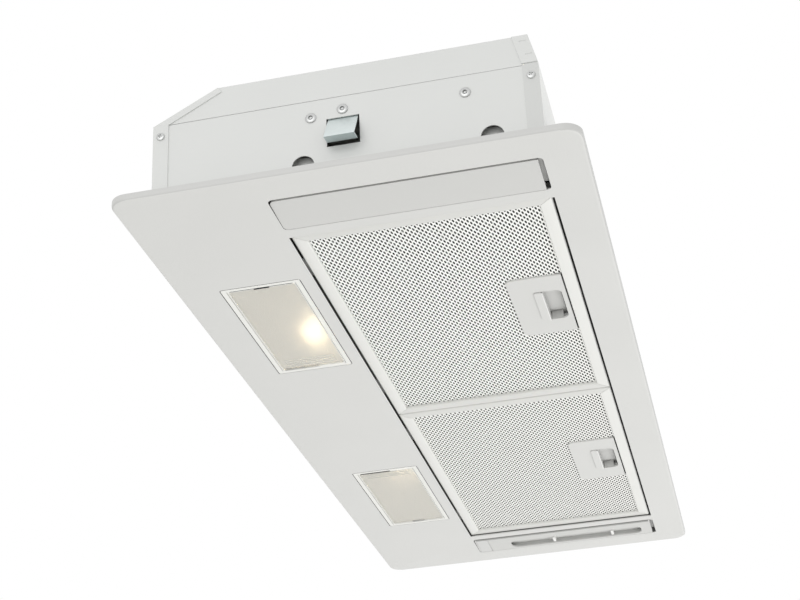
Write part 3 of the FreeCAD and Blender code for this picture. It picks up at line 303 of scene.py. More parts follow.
# Electro-galvanised sheet: pale and dull, with faint rolling streaks along the length.
CASING_ZINC = Finish(
    "electro_galvanised_sheet", "#D3D4D2", 0.55, metallic=0.35, stretch=(1.0, 0.15, 1.0),
    grain_mm=2.5, grain_depth=0.02, cloud_mm=60.0, cloud_share=0.045, gloss_share=0.15,
)
# The same sheet on the long walls, painted a shade lighter as painted light.
LIT_ZINC = replace(CASING_ZINC, name="electro_galvanised_long_wall", colour="#ECEDEB")
# The same sheet on the rear wall's flanges that lap the end walls, painted a shade darker as
# painted shade.
FLANGE_SHADE_ZINC = replace(CASING_ZINC, name="electro_galvanised_flange", colour="#CACBC9")
# Hot-dip galvanised sheet: crystals about 14 mm across.
SPANGLED_ZINC = ZincSheet("hot_dip_galvanised_sheet", "#B9BCBE", 0.45)
# Zinc-plated, blue-passivated steel: bright and cool.
BLUE_ZINC = Finish(
    "blue_passivated_zinc", "#E4ECEC", 0.28, metallic=1.0, grain_mm=0.8, grain_depth=0.03,
    cloud_mm=9.0, cloud_share=0.06,
)
# The same zinc on a face turned down, painted darker and bluer as painted shade.
BLUE_ZINC_SHADE = replace(
    BLUE_ZINC, name="blue_passivated_zinc_under", colour="#C6D2D3", roughness=0.34, metallic=0.9
)
# Aluminium rivets and small zinc screws: pale, hardly tinted.
RIVET_ALUMINIUM = Finish(
    "pale_rivet_aluminium", "#C6C7C6", 0.34, metallic=0.9, grain_mm=0.6, cloud_mm=8.0,
    cloud_share=0.05,
)
# Mill-finish aluminium strip: white under soft light, rolled along the length.
FRAME_ALUMINIUM = Finish(
    "mill_finish_aluminium", "#F0F0ED", 0.45, metallic=0.35, stretch=(0.08, 1.0, 1.0),
    grain_mm=1.0, grain_depth=0.03, cloud_mm=60.0, cloud_share=0.02,
)
# The same metal with its grain across, painted a shade darker: painted shade on the frame's short
# bars, and the pale side of the back sheet and pack.
CROSS_GRAIN_SHADE_ALUMINIUM = replace(
    FRAME_ALUMINIUM, name="mill_finish_aluminium_cross_grain", colour="#E3E3E0",
    stretch=(1.0, 0.08, 1.0),
)
# Outer sides of the strip, down in the gap: painted shade, dull and dark.
GAP_SHADE_ALUMINIUM = Finish(
    "oxidised_aluminium_edge", "#2C2B29", 0.7, metallic=0.3, grain_mm=1.0, cloud_share=0.1
)
# Punched aluminium sheet: warm white web between the holes.
PUNCHED_ALUMINIUM = Finish(
    "punched_aluminium", "#FFFFFC", 0.42, metallic=0.1, grain_mm=1.0, grain_depth=0.02,
    cloud_mm=70.0, cloud_share=0.02,
)
# The sheet behind the pack: the same metal, painted dark as painted shade.
BACK_SHADE_ALUMINIUM = Finish(
    "greased_aluminium_back", "#4A4641", 0.5, metallic=0.6, grain_mm=1.0, cloud_share=0.1
)
# Expanded aluminium mesh on its intake side, and the walls of the holes: painted shade,
# brown-black.
MESH_SHADE_ALUMINIUM = Finish(
    "expanded_aluminium", "#100B07", 0.65, metallic=0.3, cloud_mm=12.0, cloud_share=0.2
)
# Moulded ABS has a spark-eroded grain of about half a millimetre, drawn at 0.6 mm so that it shows.
# Latch plate and slider: plain satin mouldings, nearly the plate's grey; the same grey is a painted
# highlight in the lamp covers' slits.
LATCH_AND_HIGHLIGHT_ABS = Finish(
    "moulded_abs_light_grey", "#D9D9D7", 0.48, grain_mm=0.6, grain_depth=0.04, cloud_share=0.015
)
# End panels: a deeper grain that takes the shine off.
PANEL_ABS = Finish(
    "grained_abs_panel_grey", "#D2D2D0", 0.5, grain_mm=0.6, grain_depth=0.05, cloud_share=0.015
)
# The bare tile: smooth, so it catches a soft sheen beside the grained panel.
TILE_ABS = Finish(
    "smooth_abs_tile", "#D4D4D3", 0.3, grain_mm=0.6, grain_depth=0.01, cloud_share=0.015
)
# Switch blocks: the same moulding down in the shade of the slot.
SWITCH_ABS = Finish(
    "moulded_abs_mid_grey", "#D6D6D4", 0.5, grain_mm=0.6, grain_depth=0.05, cloud_share=0.03
)
# Slider blades: polished white, so their edges flash; the same white on the latch's bead is a
# painted highlight.
KNOB_AND_HIGHLIGHT_ABS = Finish(
    "polished_abs_white", "#F0F0EE", 0.25, grain_mm=0.6, grain_depth=0.01, cloud_share=0.01
)
# Closed-cell foam strip, dead matt grey with cells of just under a millimetre: painted shade in the
# panel's gap.
SEAL_SHADE_FOAM = Finish(
    "closed_cell_foam_grey", "#A4A4A2", 0.8, grain_mm=0.8, grain_depth=0.2, cloud_share=0.05
)
# Glass-filled nylon, moulded black: fibres leave a slightly mottled dull skin; the same black is
# painted shade on the latch's bolt, in the pocket's slot and in the lamp covers' slits.
BLACK_NYLON_AND_SHADE = Finish(
    "glass_filled_nylon_black", "#2A2A2C", 0.55, grain_mm=0.9, grain_depth=0.08, cloud_mm=20.0,
    cloud_share=0.12,
)
# Lamp holders and capacitor: hard off-white moulding with a slight shine.
WHITE_BAKELITE = Finish("moulded_thermoset_white", "#DEDCD4", 0.35, grain_depth=0.02)
# Motor can: edges of stacked laminations show as fine rings.
MOTOR_STEEL = Finish(
    "laminated_steel_can", "#8F9193", 0.42, metallic=1.0, stretch=(1.0, 0.1, 1.0), grain_mm=0.9,
    grain_depth=0.1, cloud_mm=25.0, cloud_share=0.08,
)
# Shaft and pin: ground bright, with a sharp highlight along the length.
GROUND_STEEL = Finish("ground_steel", "#C4C5C6", 0.22, metallic=1.0, grain_mm=0.5, cloud_share=0.02)
# Clear acrylic, polished: the cover's border shows the wall behind it.
CLEAR_ACRYLIC = Finish(
    "clear_acrylic", "#F6F6F2", 0.12, ior=1.49, grain_depth=0.0, cloud_share=0.01, transmission=0.06
)
# Sawn edge of the cover, down in its gap: dull, and painted dark as painted shade, since no light
# gets there.
EDGE_SHADE_ACRYLIC = Finish(
    "sawn_acrylic_edge", "#484847", 0.6, ior=1.49, grain_mm=1.0, cloud_share=0.08
)
# Stippled acrylic: pips of about 1.2 mm scatter the lamp into a soft patch.
STIPPLED_ACRYLIC = Finish(
    "stippled_acrylic", "#F0EDE4", 0.36, ior=1.49, grain_mm=1.2, grain_depth=0.3, cloud_share=0.02,
    transmission=0.35,
)
# Reflector sheet inside the lamp boxes: dull warm grey.
REFLECTOR_SHEET = Finish("reflector_sheet", "#B9B2A6", 0.4, metallic=0.5, grain_depth=0.03)
# Clear glass of a lamp that is lit: white-hot about the filament, warm and dim towards its ends.
FILAMENT_X = {End.BLANK: 0.153, End.CONTROL: -0.127}
FILAMENT_Y, FILAMENT_Z = -0.079, 0.0155
FILAMENT_PEAK = {End.BLANK: 135.0, End.CONTROL: 20.0}
LIT_GLASS = {
    end: LitGlass(
        end.node("lit_lamp_glass"), "#FFF0D8", 0.3, ior=1.52, grain_depth=0.0,
        centre=(FILAMENT_X[end], FILAMENT_Y, FILAMENT_Z), peak=FILAMENT_PEAK[end],
    )
    for end in End
}


def from_mesh(name: str, mesh: Mesh) -> Piece:
    """Link a mesh into the scene as an object.

    Args:
        name: name of the object.
        mesh: its mesh.

    Returns:
        The object.
    """
    piece = bpy.data.objects.new(name, mesh)
    bpy.context.scene.collection.objects.link(piece)
    return piece


def from_shape(name: str, shape: Shape) -> Piece:
    """Turn a mesh under construction into an object.

    Args:
        name: name of the object and of its mesh.
        shape: the mesh, which is freed.

    Returns:
        The object.
    """
    mesh = bpy.data.meshes.new(name)
    shape.to_mesh(mesh)
    shape.free()
    return from_mesh(name, mesh)


def new_piece(name: str, vertices: Sequence, faces: Sequence) -> Piece:
    """Make an object from corners and faces.

    Args:
        name: name of the object and of its mesh.
        vertices: corners, in metres.
        faces: numbers of each face's corners.

    Returns:
        The object.
    """
    mesh = bpy.data.meshes.new(name)
    mesh.from_pydata(vertices, [], faces)
    mesh.update()
    return from_mesh(name, mesh)


def smooth(piece: Piece, angle_deg: float = 35.0) -> Piece:
    """Shade smooth but for sharp edges.

    Args:
        piece: the object.
        angle_deg: angle above which an edge stays sharp.

    Returns:
        The same object.
    """
    piece.data.shade_smooth()
    piece.data.set_sharp_from_angle(angle=math.radians(angle_deg))
    return piece


def bevel(piece: Piece, width_mm: float, segments: int = 2, sharp_deg: float = 40.0) -> Piece:
    """Break the sharp edges of a piece.

    Args:
        piece: the object.
        width_mm: width of the broken edge.
        segments: facets across it.
        sharp_deg: least angle of an edge that is broken.

    Returns:
        The same object.
    """
    rounding = piece.modifiers.new("broken_edges", "BEVEL")
    rounding.width = width_mm * MM
    rounding.segments = segments
    rounding.limit_method = "ANGLE"
    rounding.angle_limit = math.radians(sharp_deg)
    rounding.harden_normals = True
    rounding.use_clamp_overlap = True
    piece.data.shade_smooth()
    return piece


def carve(piece: Piece, cutter: Piece) -> None:
    """Cut one closed mesh out of another and drop the cutter.

    Args:
        piece: the object that is cut.
        cutter: the object that is taken away.
    """
    cut = piece.modifiers.new("cut", "BOOLEAN")
    cut.operation = "DIFFERENCE"
    cut.solver = "EXACT"
    cut.object = cutter
    bpy.context.view_layer.update()
    done = piece.evaluated_get(bpy.context.evaluated_depsgraph_get())
    result = bpy.data.meshes.new_from_object(done)
    piece.modifiers.clear()
    piece.data = result
    bpy.data.objects.remove(cutter)


def block(name: str, low: Sequence[float], high: Sequence[float]) -> Piece:
    """Make a closed box.

    Args:
        name: name of the object.
        low: lowest corner, in metres.
        high: highest corner.

    Returns:
        The box.
    """
    corners = [
        (x, y, z) for x in (low[0], high[0]) for y in (low[1], high[1]) for z in (low[2], high[2])
    ]
    faces = [(0, 1, 3, 2), (4, 6, 7, 5), (0, 4, 5, 1), (2, 3, 7, 6), (0, 2, 6, 4), (1, 5, 7, 3)]
    return new_piece(name, corners, faces)


def prism(name: str, outline: Sequence[Point], low: float, high: float) -> Piece:
    """Make a closed upright piece from an outline.

    Args:
        name: name of the object.
        outline: points in X and Y, anticlockwise from above, in metres.
        low: height of its foot.
        high: height of its top.

    Returns:
        The object.
    """
    count = len(outline)
    vertices = [(x, y, z) for z in (low, high) for x, y in outline]
    sides = [(n, (n + 1) % count, count + (n + 1) % count, count + n) for n in range(count)]
    ends = [tuple(reversed(range(count))), tuple(range(count, 2 * count))]
    return new_piece(name, vertices, ends + sides)


def arc(
    centre: Point, radius: float, start_deg: float, end_deg: float, steps: int = 4
) -> list[Point]:
    """Points along a circular arc."""
    angles = [math.radians(start_deg + (end_deg - start_deg) * n / steps) for n in range(steps + 1)]
    return [(centre[0] + radius * math.cos(a), centre[1] + radius * math.sin(a)) for a in angles]


def rounded(low: Point, high: Point, radius: float) -> list[Point]:
    """Outline a rectangle with round corners.

    Args:
        low: lowest corner, in metres.
        high: highest corner.
        radius: radius of the corners.

    Returns:
        Its points, anticlockwise.
    """
    near_x, near_y = low[0] + radius, low[1] + radius
    far_x, far_y = high[0] - radius, high[1] - radius
    corners = ((near_x, near_y, 180), (far_x, near_y, 270), (far_x, far_y, 0), (near_x, far_y, 90))
    turns = [arc((x, y), radius, start, start + 90, CORNER_STEPS) for x, y, start in corners]
    return [point for turn in turns for point in turn]


def lathe(outline: Sequence[Point], turns: int) -> Shape:
    """Turn an outline about Z.

    Args:
        outline: radius and height of each point in millimetres, from the axis back to the axis.
        turns: facets round the axis.

    Returns:
        The closed mesh, under construction.
    """
    shape = bmesh.new()
    rings = []
    for radius, height in outline:
        count = turns if radius else 1
        angles = [2 * math.pi * step / count for step in range(count)]
        rings.append([
            shape.verts.new((radius * math.cos(a) * MM, radius * math.sin(a) * MM, height * MM))
            for a in angles
        ])
    for lower, upper in zip(rings, rings[1:]):
        for step in range(turns):
            corners = [lower[step % len(lower)], lower[(step + 1) % len(lower)],
                       upper[(step + 1) % len(upper)], upper[step % len(upper)]]
            unique = list(dict.fromkeys(corners))
            if len(unique) > 2:
                shape.faces.new(unique)
    bmesh.ops.recalc_face_normals(shape, faces=shape.faces)
    return shape


def inset(
    face: Face, low: Sequence[float], high: Sequence[float], axes: Sequence[int] = (0, 1)
) -> float:
    """Distance from a face's middle to the nearest side of a box, along the axes given."""
    return min(min(face.center[i] - low[i], high[i] - face.center[i]) for i in axes)


def corners_of(node: str) -> tuple[Vector, Vector]:
    """Lowest and highest corner of a CAD node."""
    low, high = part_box(node)
    return Vector(low), Vector(high)


def show(piece: Piece, finish: Finish, node: str) -> Piece:
    """Dress a piece, let it ride its node's body and stand for that node.

    Args:
        piece: the object, in place.
        finish: its finish.
        node: the CAD node that it stands for.

    Returns:
        The same piece.
    """
    finish.dress(piece)
    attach(piece, BODY_OF[node])
    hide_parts(node)
    LOG.info("%s stands for %s", piece.name, node)
    return piece


def add_trim(piece: Piece, finish: Finish, body: str) -> None:
    """Dress a small extra piece and let it ride a body.

    Args:
        piece: the object, in place.
        finish: its finish.
        body: the body that carries it.
    """
    finish.dress(piece)
    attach(piece, body)
    LOG.info("%s rides %s", piece.name, body)


def second_finish(piece: Piece, finish: Finish, chosen: Callable[[Face], bool]) -> None:
    """Put a further finish on some faces of a dressed piece.

    Args:
        piece: the dressed object.
        finish: the further finish.
        chosen: tells whether a face takes it.
    """
    piece.data.materials.append(finish.material())
    number = len(piece.data.materials) - 1
    for face in piece.data.polygons:
        if chosen(face):
            face.material_index = number


def welded(node: str) -> Shape:
    """Copy a CAD node's mesh with joined corners.

    Args:
        node: the CAD node.

    Returns:
        The copy, under construction.
    """
    shape = bmesh.new()
    shape.from_mesh(frame["nodes"][node].data)
    bmesh.ops.remove_doubles(shape, verts=shape.verts, dist=WELD)
    return shape


def copy_of(node: str, join_flats: bool = True, flat_deg: float = 0.5) -> Piece:
    """Copy a CAD node as an object with joined corners and none of its stored normals.

    Args:
        node: the CAD node.
        join_flats: whether facets that lie in one plane become one face.
        flat_deg: angle below which facets count as lying in one plane.

    Returns:
        The copy.
    """
    shape = welded(node)
    if join_flats:
        limit = math.radians(flat_deg)
        bmesh.ops.dissolve_limit(shape, angle_limit=limit, verts=shape.verts, edges=shape.edges)
    shape.verts.index_update()
    vertices = [vertex.co[:] for vertex in shape.verts]
    faces = [[vertex.index for vertex in face.verts] for face in shape.faces]
    shape.free()
    mesh = bpy.data.meshes.new(f"{node}_piece")
    mesh.from_pydata(vertices, [], faces)
    return from_mesh(f"{node}_piece", mesh)


def soften(node: str, finish: Finish, edge_mm: float = 0.3, join_flats: bool = True) -> Piece:
    """Stand in for a CAD node with the same shape and broken edges."""
    return show(bevel(copy_of(node, join_flats), edge_mm), finish, node)


def keep(node: str, finish: Finish) -> None:
    """Leave a CAD node showing, with a better finish."""
    finish.dress(frame["nodes"][node])
    LOG.info("%s keeps its solid", node)


def islands(node: str, digits: int = 4) -> list[tuple[Vector, Vector]]:
    """Find the separate solids of a CAD node.

    Args:
        node: the CAD node.
        digits: decimals of a metre by which their places are told apart.

    Returns:
        Lowest and highest corner of each solid, in order of place, which is the same on every run.
    """
    shape = welded(node)
    left = set(shape.verts)
    found = []
    while left:
        group, edge = set(), [left.pop()]
        while edge:
            vertex = edge.pop()
            group.add(vertex)
            near = {link.other_vert(vertex) for link in vertex.link_edges} & left
            left -= near
            edge.extend(near)
        columns = list(zip(*(vertex.co for vertex in group)))
        found.append((Vector(map(min, columns)), Vector(map(max, columns))))
    shape.free()
    return sorted(found, key=lambda corners: [round(value, digits) for value in corners[0]])


def rivet_outline(radius: float, height: float) -> list[Point]:
    """Outline a blind rivet: a low dome with the broken mandrel in its middle.

    Args:
        radius: radius of the head, in millimetres.
        height: height of the head.

    Returns:
        Radius and height of each point, from the foot of the shank up.
    """
    shank = [(0, -4.6), (1.6, -4.6), (1.6, 0)]
    dome = [(0.86, 0), (0.86, 0.2), (1, 0.26), (0.98, 0.42), (0.85, 0.72), (0.64, 0.95), (0.48, 1),
            (0.41, 0.86), (0.39, -0.4), (0.25, -0.4), (0.22, 0.5), (0, 0.55)]
    return shank + [(radius * out, height * up) for out, up in dome]


def pan_outline(radius: float, height: float) -> list[Point]:
    """Outline a pan-head screw.

    Args:
        radius: radius of the head, in millimetres.
        height: height of the head.

    Returns:
        Radius and height of each point, from the foot of the shank up.
    """
    shank = [(0, -5), (1.7, -5), (1.7, 0)]
    head = [(1, 0), (1, 0.32), (0.93, 0.68), (0.75, 0.91), (0.45, 1), (0, 1)]
    return shank + [(radius * out, height * up) for out, up in head]


@dataclass
class Fasteners:
    """Heads of one kind on the places of a CAD node's own heads.

    A screw has a cross recess, whose arms and floor are shares of its length and of the head's
    height. Each head is turned on from the one before it.
    """

    node: str
    axis: Axis
    radius_mm: float
    height_mm: float
    cross_mm: float = 0.0
    arm_share: float = 0.125
    floor_share: float = 0.45
    turn_rad: float = 0.7
    turns: int = 32

    def seats(self) -> Iterable[tuple[Vector, Vector]]:
        """Find where the heads stand.

        Returns:
            Foot and outward direction of each head, in turn.
        """
        for low, high in islands(self.node):
            centre, height = (low + high) / 2, self.height_mm * MM
            if self.axis is Axis.OUTWARD_X:
                side = math.copysign(1.0, centre.x)
                top = high.x if side > 0 else low.x
                yield Vector((top - side * height, centre.y, centre.z)), Vector((side, 0, 0))
            elif self.axis is Axis.UP:
                yield Vector((centre.x, centre.y, high.z - height)), Vector((0, 0, 1))
            else:
                yield Vector((centre.x, high.y - height, centre.z)), Vector((0, 1, 0))

    def head(self) -> Mesh:
        """Make one head and its shank, upright at the origin.

        Returns:
            The mesh, with a cross recess where it has one.
        """
        outline = pan_outline if self.cross_mm else rivet_outline
        piece = from_shape("head", lathe(outline(self.radius_mm, self.height_mm), self.turns))
        half, wide = self.cross_mm / 2 * MM, self.cross_mm * self.arm_share * MM
        low, high = self.height_mm * self.floor_share * MM, self.height_mm * 2 * MM
        if self.cross_mm:
            for reach_x, reach_y in ((half, wide), (wide, half)):
                carve(piece, block("cross", (-reach_x, -reach_y, low), (reach_x, reach_y, high)))
        mesh = piece.data
        bpy.data.objects.remove(piece)
        return mesh

    def build(self, finish: Finish) -> None:
        """Put a head on each seat, all in one piece.

        Args:
            finish: the heads' finish.
        """
        one = self.head()
        whole = bmesh.new()
        for number, (foot, outward) in enumerate(self.seats()):
            turn = Matrix.Rotation(number * self.turn_rad, 4, "Z")
            facing = outward.to_track_quat("Z", "Y").to_matrix().to_4x4()
            copy = one.copy()
            copy.transform(Matrix.Translation(foot) @ facing @ turn)
            whole.from_mesh(copy)
        show(smooth(from_shape(f"{self.node}_heads", whole)), finish, self.node)


@dataclass
class Casing:
    """Face plate, walls, top cover and their rivets, screws and side clips."""

    plate_edge_mm: float = 0.3
    sheet_edge_mm: float = 0.2
    rim_mm: float = 6.0
    rim_slope: float = 0.8
    wall_slope: float = 0.7
    seam_mm: float = 0.22
    punch_marks_mm: tuple[Point, ...] = ((113.2, 73.6), (116.2, 63.7))
    punch_long_mm: float = 4.0
    punch_wide_mm: float = 0.6
    punch_deep_mm: float = 0.35

    def build(self) -> None:
        """Dress the sheet-metal shell."""
        self.build_plate()
        for node in ("front_wall", "rear_wall"):
            wall = soften(node, CASING_ZINC, self.sheet_edge_mm)
            # Painted light: the long walls' outer faces a shade lighter.
            second_finish(wall, LIT_ZINC, lambda face: abs(face.normal.y) > SQUARE)
            if node == "rear_wall":
                # Painted shade on the flanges that lap the end walls.
                second_finish(wall, FLANGE_SHADE_ZINC, lambda face: abs(face.normal.x) > SQUARE)
        self.build_cover()
        for end in End:
            self.build_end_wall(end.node("end_wall"))
            soften(end.node("clip_base"), BLUE_ZINC, self.sheet_edge_mm)
            tab = soften(end.node("clip_tab"), BLUE_ZINC, self.sheet_edge_mm)
            # Painted shade on the tab's downward faces.
            second_finish(tab, BLUE_ZINC_SHADE, lambda face: face.normal.z < -LEANING)
        rivets = Fasteners("end_rivets", Axis.OUTWARD_X, radius_mm=3.5, height_mm=1.1)
        rivets.build(RIVET_ALUMINIUM)
        screws = Fasteners(
            "corner_screws", Axis.OUTWARD_X, radius_mm=2.7, height_mm=1.2, cross_mm=2.8
        )
        screws.build(RIVET_ALUMINIUM)

    def build_plate(self) -> None:
        """Face plate, with painted shade on its rolled rim and on the walls of its openings."""
        node = "face_plate"
        plate = soften(node, PLATE_ENAMEL, self.plate_edge_mm)
        low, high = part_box(node)
        rim = self.rim_mm * MM
        # Painted shade on the rolled rim.
        second_finish(plate, RIM_SHADE_ENAMEL, lambda face: (
            inset(face, low, high) < rim and abs(face.normal.z) < self.rim_slope
        ))
        # Painted shade on the walls of the openings.
        second_finish(plate, OPENING_SHADE_STEEL, lambda face: (
            inset(face, low, high) > 2 * rim and abs(face.normal.y) > self.wall_slope
        ))

    def build_cover(self) -> None:
        """Top cover with two punch marks on each corner tab."""
        node = "top_cover"
        low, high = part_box(node)
        cover = copy_of(node)
        half = (self.punch_deep_mm, self.punch_long_mm / 2, self.punch_wide_mm / 2)
        for x in (low[0], high[0]):
            for y, z in self.punch_marks_mm:
                middle = (x, y * MM, z * MM)
                near, far = (
                    [place + side * reach * MM for place, reach in zip(middle, half)]
                    for side in (-1, 1)
                )
                carve(cover, block("punch", near, far))
        show(bevel(cover, self.sheet_edge_mm), CASING_ZINC, node)

    def build_end_wall(self, node: str) -> None:
        """Make an end wall that ends a hair short of the top cover, so that their seam shows.

        Args:
            node: the wall's CAD node.
        """
        low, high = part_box(node)
        wall = copy_of(node)
        near = (low[0] - PAST, low[1] - PAST, high[2] - self.seam_mm * MM)
        carve(wall, block("seam", near, [value + PAST for value in high]))
        show(bevel(wall, self.sheet_edge_mm), CASING_ZINC, node)


@dataclass(frozen=True)
class PunchedSheet:
    """Flat sheet of staggered holes, as a lattice of six-sided cells with a hole in each.

    A hole may be longer along X than along Y, and lean.
    """

    pitch_mm: float
    long_mm: float
    wide_mm: float
    lean_deg: float = 0.0
    sides: int = 12
    cell_sides: int = 6
    grid: float = 1e6

    def centres(self, low: Vector, high: Vector, gaps: Sequence[Gap]) -> Iterable[Point]:
        """Find the middles of the cells that lie wholly on the sheet and clear of its gaps.

        Args:
            low: lowest corner of the sheet, in metres.
            high: highest corner.
            gaps: two corners in X and Y of each place with no sheet.

        Returns:
            X and Y of each middle, in turn.
        """
        pitch = self.pitch_mm * MM
        step, reach = pitch * math.sqrt(3) / 2, pitch / math.sqrt(3)
        columns = int((high.x - low.x - 2 * reach) / step) + 1
        rows = int((high.y - low.y - 1.5 * pitch) / pitch) + 1
        start_x = (low.x + high.x - (columns - 1) * step) / 2
        start_y = (low.y + high.y - (rows - 0.5) * pitch) / 2
        for column in range(columns):
            x = start_x + column * step
            for row in range(rows):
                y = start_y + (row + 0.5 * (column % 2)) * pitch
                if not any(
                    near[0] - reach < x < far[0] + reach and near[1] - reach < y < far[1] + reach
                    for near, far in gaps
                ):
                    yield x, y

    def cell(self) -> list[Point]:
        """Lay out one cell.

        Returns:
            Its corners about its middle, in metres.
        """
        reach = self.pitch_mm * MM / math.sqrt(3)
        angles = [math.radians(360 / self.cell_sides * n) for n in range(self.cell_sides)]
        return [(reach * math.cos(a), reach * math.sin(a)) for a in angles]

    def hole(self) -> list[Point]:
        """Lay out one hole.

        Returns:
            Points of its edge about its middle, in metres.
        """
        lean = Matrix.Rotation(math.radians(self.lean_deg), 2)
        angles = [2 * math.pi * n / self.sides for n in range(self.sides)]
        edge = [Vector((self.long_mm * math.cos(a), self.wide_mm * math.sin(a))) for a in angles]
        return [(lean @ point / 2 * MM)[:] for point in edge]

    def build(self, name: str, low: Vector, high: Vector, gaps: Sequence[Gap] = ()) -> Piece:
        """Make the sheet.

        Args:
            name: name of the piece.
            low: lowest corner of the sheet, in metres.
            high: highest corner.
            gaps: two corners in X and Y of each place with no sheet.

        Returns:
            The sheet as one closed mesh.
        """
        corners, ring, part = self.cell(), self.hole(), self.sides // self.cell_sides
        vertices, faces, shared, edges = [], [], {}, {}

        def shared_corner(*place: float) -> int:
            """Number a cell corner that up to three cells share.

            Args:
                place: X, Y and Z of the corner.

            Returns:
                Its number among the vertices.
            """
            key = tuple(round(value * self.grid) for value in place)
            if key not in shared:
                shared[key] = len(vertices)
                vertices.append(place)
            return shared[key]

        for x, y in self.centres(low, high, gaps):
            outer, hole = [], []
            for z in (low.z, high.z):
                outer.append([shared_corner(x + u, y + v, z) for u, v in corners])
                hole.append(range(len(vertices), len(vertices) + self.sides))
                vertices.extend((x + u, y + v, z) for u, v in ring)
            for n in range(self.cell_sides):
                after = (n + 1) % self.cell_sides
                run = [(n * part + k) % self.sides for k in range(part + 1)]
                faces.append([outer[0][after], outer[0][n]] + [hole[0][k] for k in run])
                faces.append([outer[1][n], outer[1][after]] + [hole[1][k] for k in reversed(run)])
                edge = (outer[0][n], outer[0][after])
                edges[edge] = (*edge, outer[1][after], outer[1][n])
            for k in range(self.sides):
                after = (k + 1) % self.sides
                faces.append((hole[0][after], hole[0][k], hole[1][k], hole[1][after]))
        faces.extend(side for edge, side in edges.items() if edge[::-1] not in edges)
        return new_piece(name, vertices, faces)


@dataclass
class ExpandedMesh:
    """Layers of expanded metal: zigzag strands whose tips come as near as a hair to each other."""

    long_way_mm: float = 10.0
    short_way_mm: float = 5.0
    strand_mm: float = 0.9
    sheet_mm: float = 0.35
    tip_share: float = 0.98
    layers: int = 3

    def build(self, name: str, low: Vector, high: Vector, gap: Gap) -> Piece:
        """Make the pack.

        Args:
            name: name of the piece.
            low: lowest corner of the pack, in metres.
            high: highest corner.
            gap: two corners in X and Y of the place with no mesh.

        Returns:
            The pack as one piece.
        """
        vertices, faces = [], []
        rise = (high.z - low.z - self.sheet_mm * MM) / (self.layers - 1)
        for layer in range(self.layers):
            foot = Vector((low.x, low.y, low.z + layer * rise))
            self.add_layer(vertices, faces, foot, high, layer % 2, gap)
        return new_piece(name, vertices, faces)

    def add_layer(
        self, vertices: list, faces: list, low: Vector, high: Vector, shift: int, gap: Gap
    ) -> None:
        """Add one layer's strands.

        Args:
            vertices: corners so far, which grow.
            faces: faces so far, which grow.
            low: lowest corner of the layer, in metres.
            high: highest corner of the pack.
            shift: one where the zigzag starts the other way, or else zero.
            gap: two corners in X and Y of the place with no mesh.
        """
        step, tip = self.long_way_mm / 2 * MM, self.short_way_mm / 4 * MM
        half = self.strand_mm / 2 * MM
        columns = int((high.x - low.x) / step)
        rows = int((high.y - low.y - 2 * tip - 2 * half) / (2 * tip))
        for row in range(rows + 1):
            y = low.y + tip + half + row * 2 * tip
            last = None
            for column in range(columns + 1):
                x = low.x + column * step
                place = (x, y)
                if all(gap[0][i] - step < place[i] < gap[1][i] + step for i in (0, 1)):
                    last = None
                    continue
                swing = tip * self.tip_share * (1 if (row + column + shift) % 2 else -1)
                first = len(vertices)
                for side, lift in ((-1, 0), (1, 0), (1, 1), (-1, 1)):
                    height = low.z + lift * self.sheet_mm * MM
                    vertices.append((x, y + swing + side * half, height))
                if last is None:
                    faces.append((first, first + 1, first + 2, first + 3))
                else:
                    faces.extend(
                        (last + k, last + (k + 1) % 4, first + (k + 1) % 4, first + k)
                        for k in range(4)
                    )
                last = first


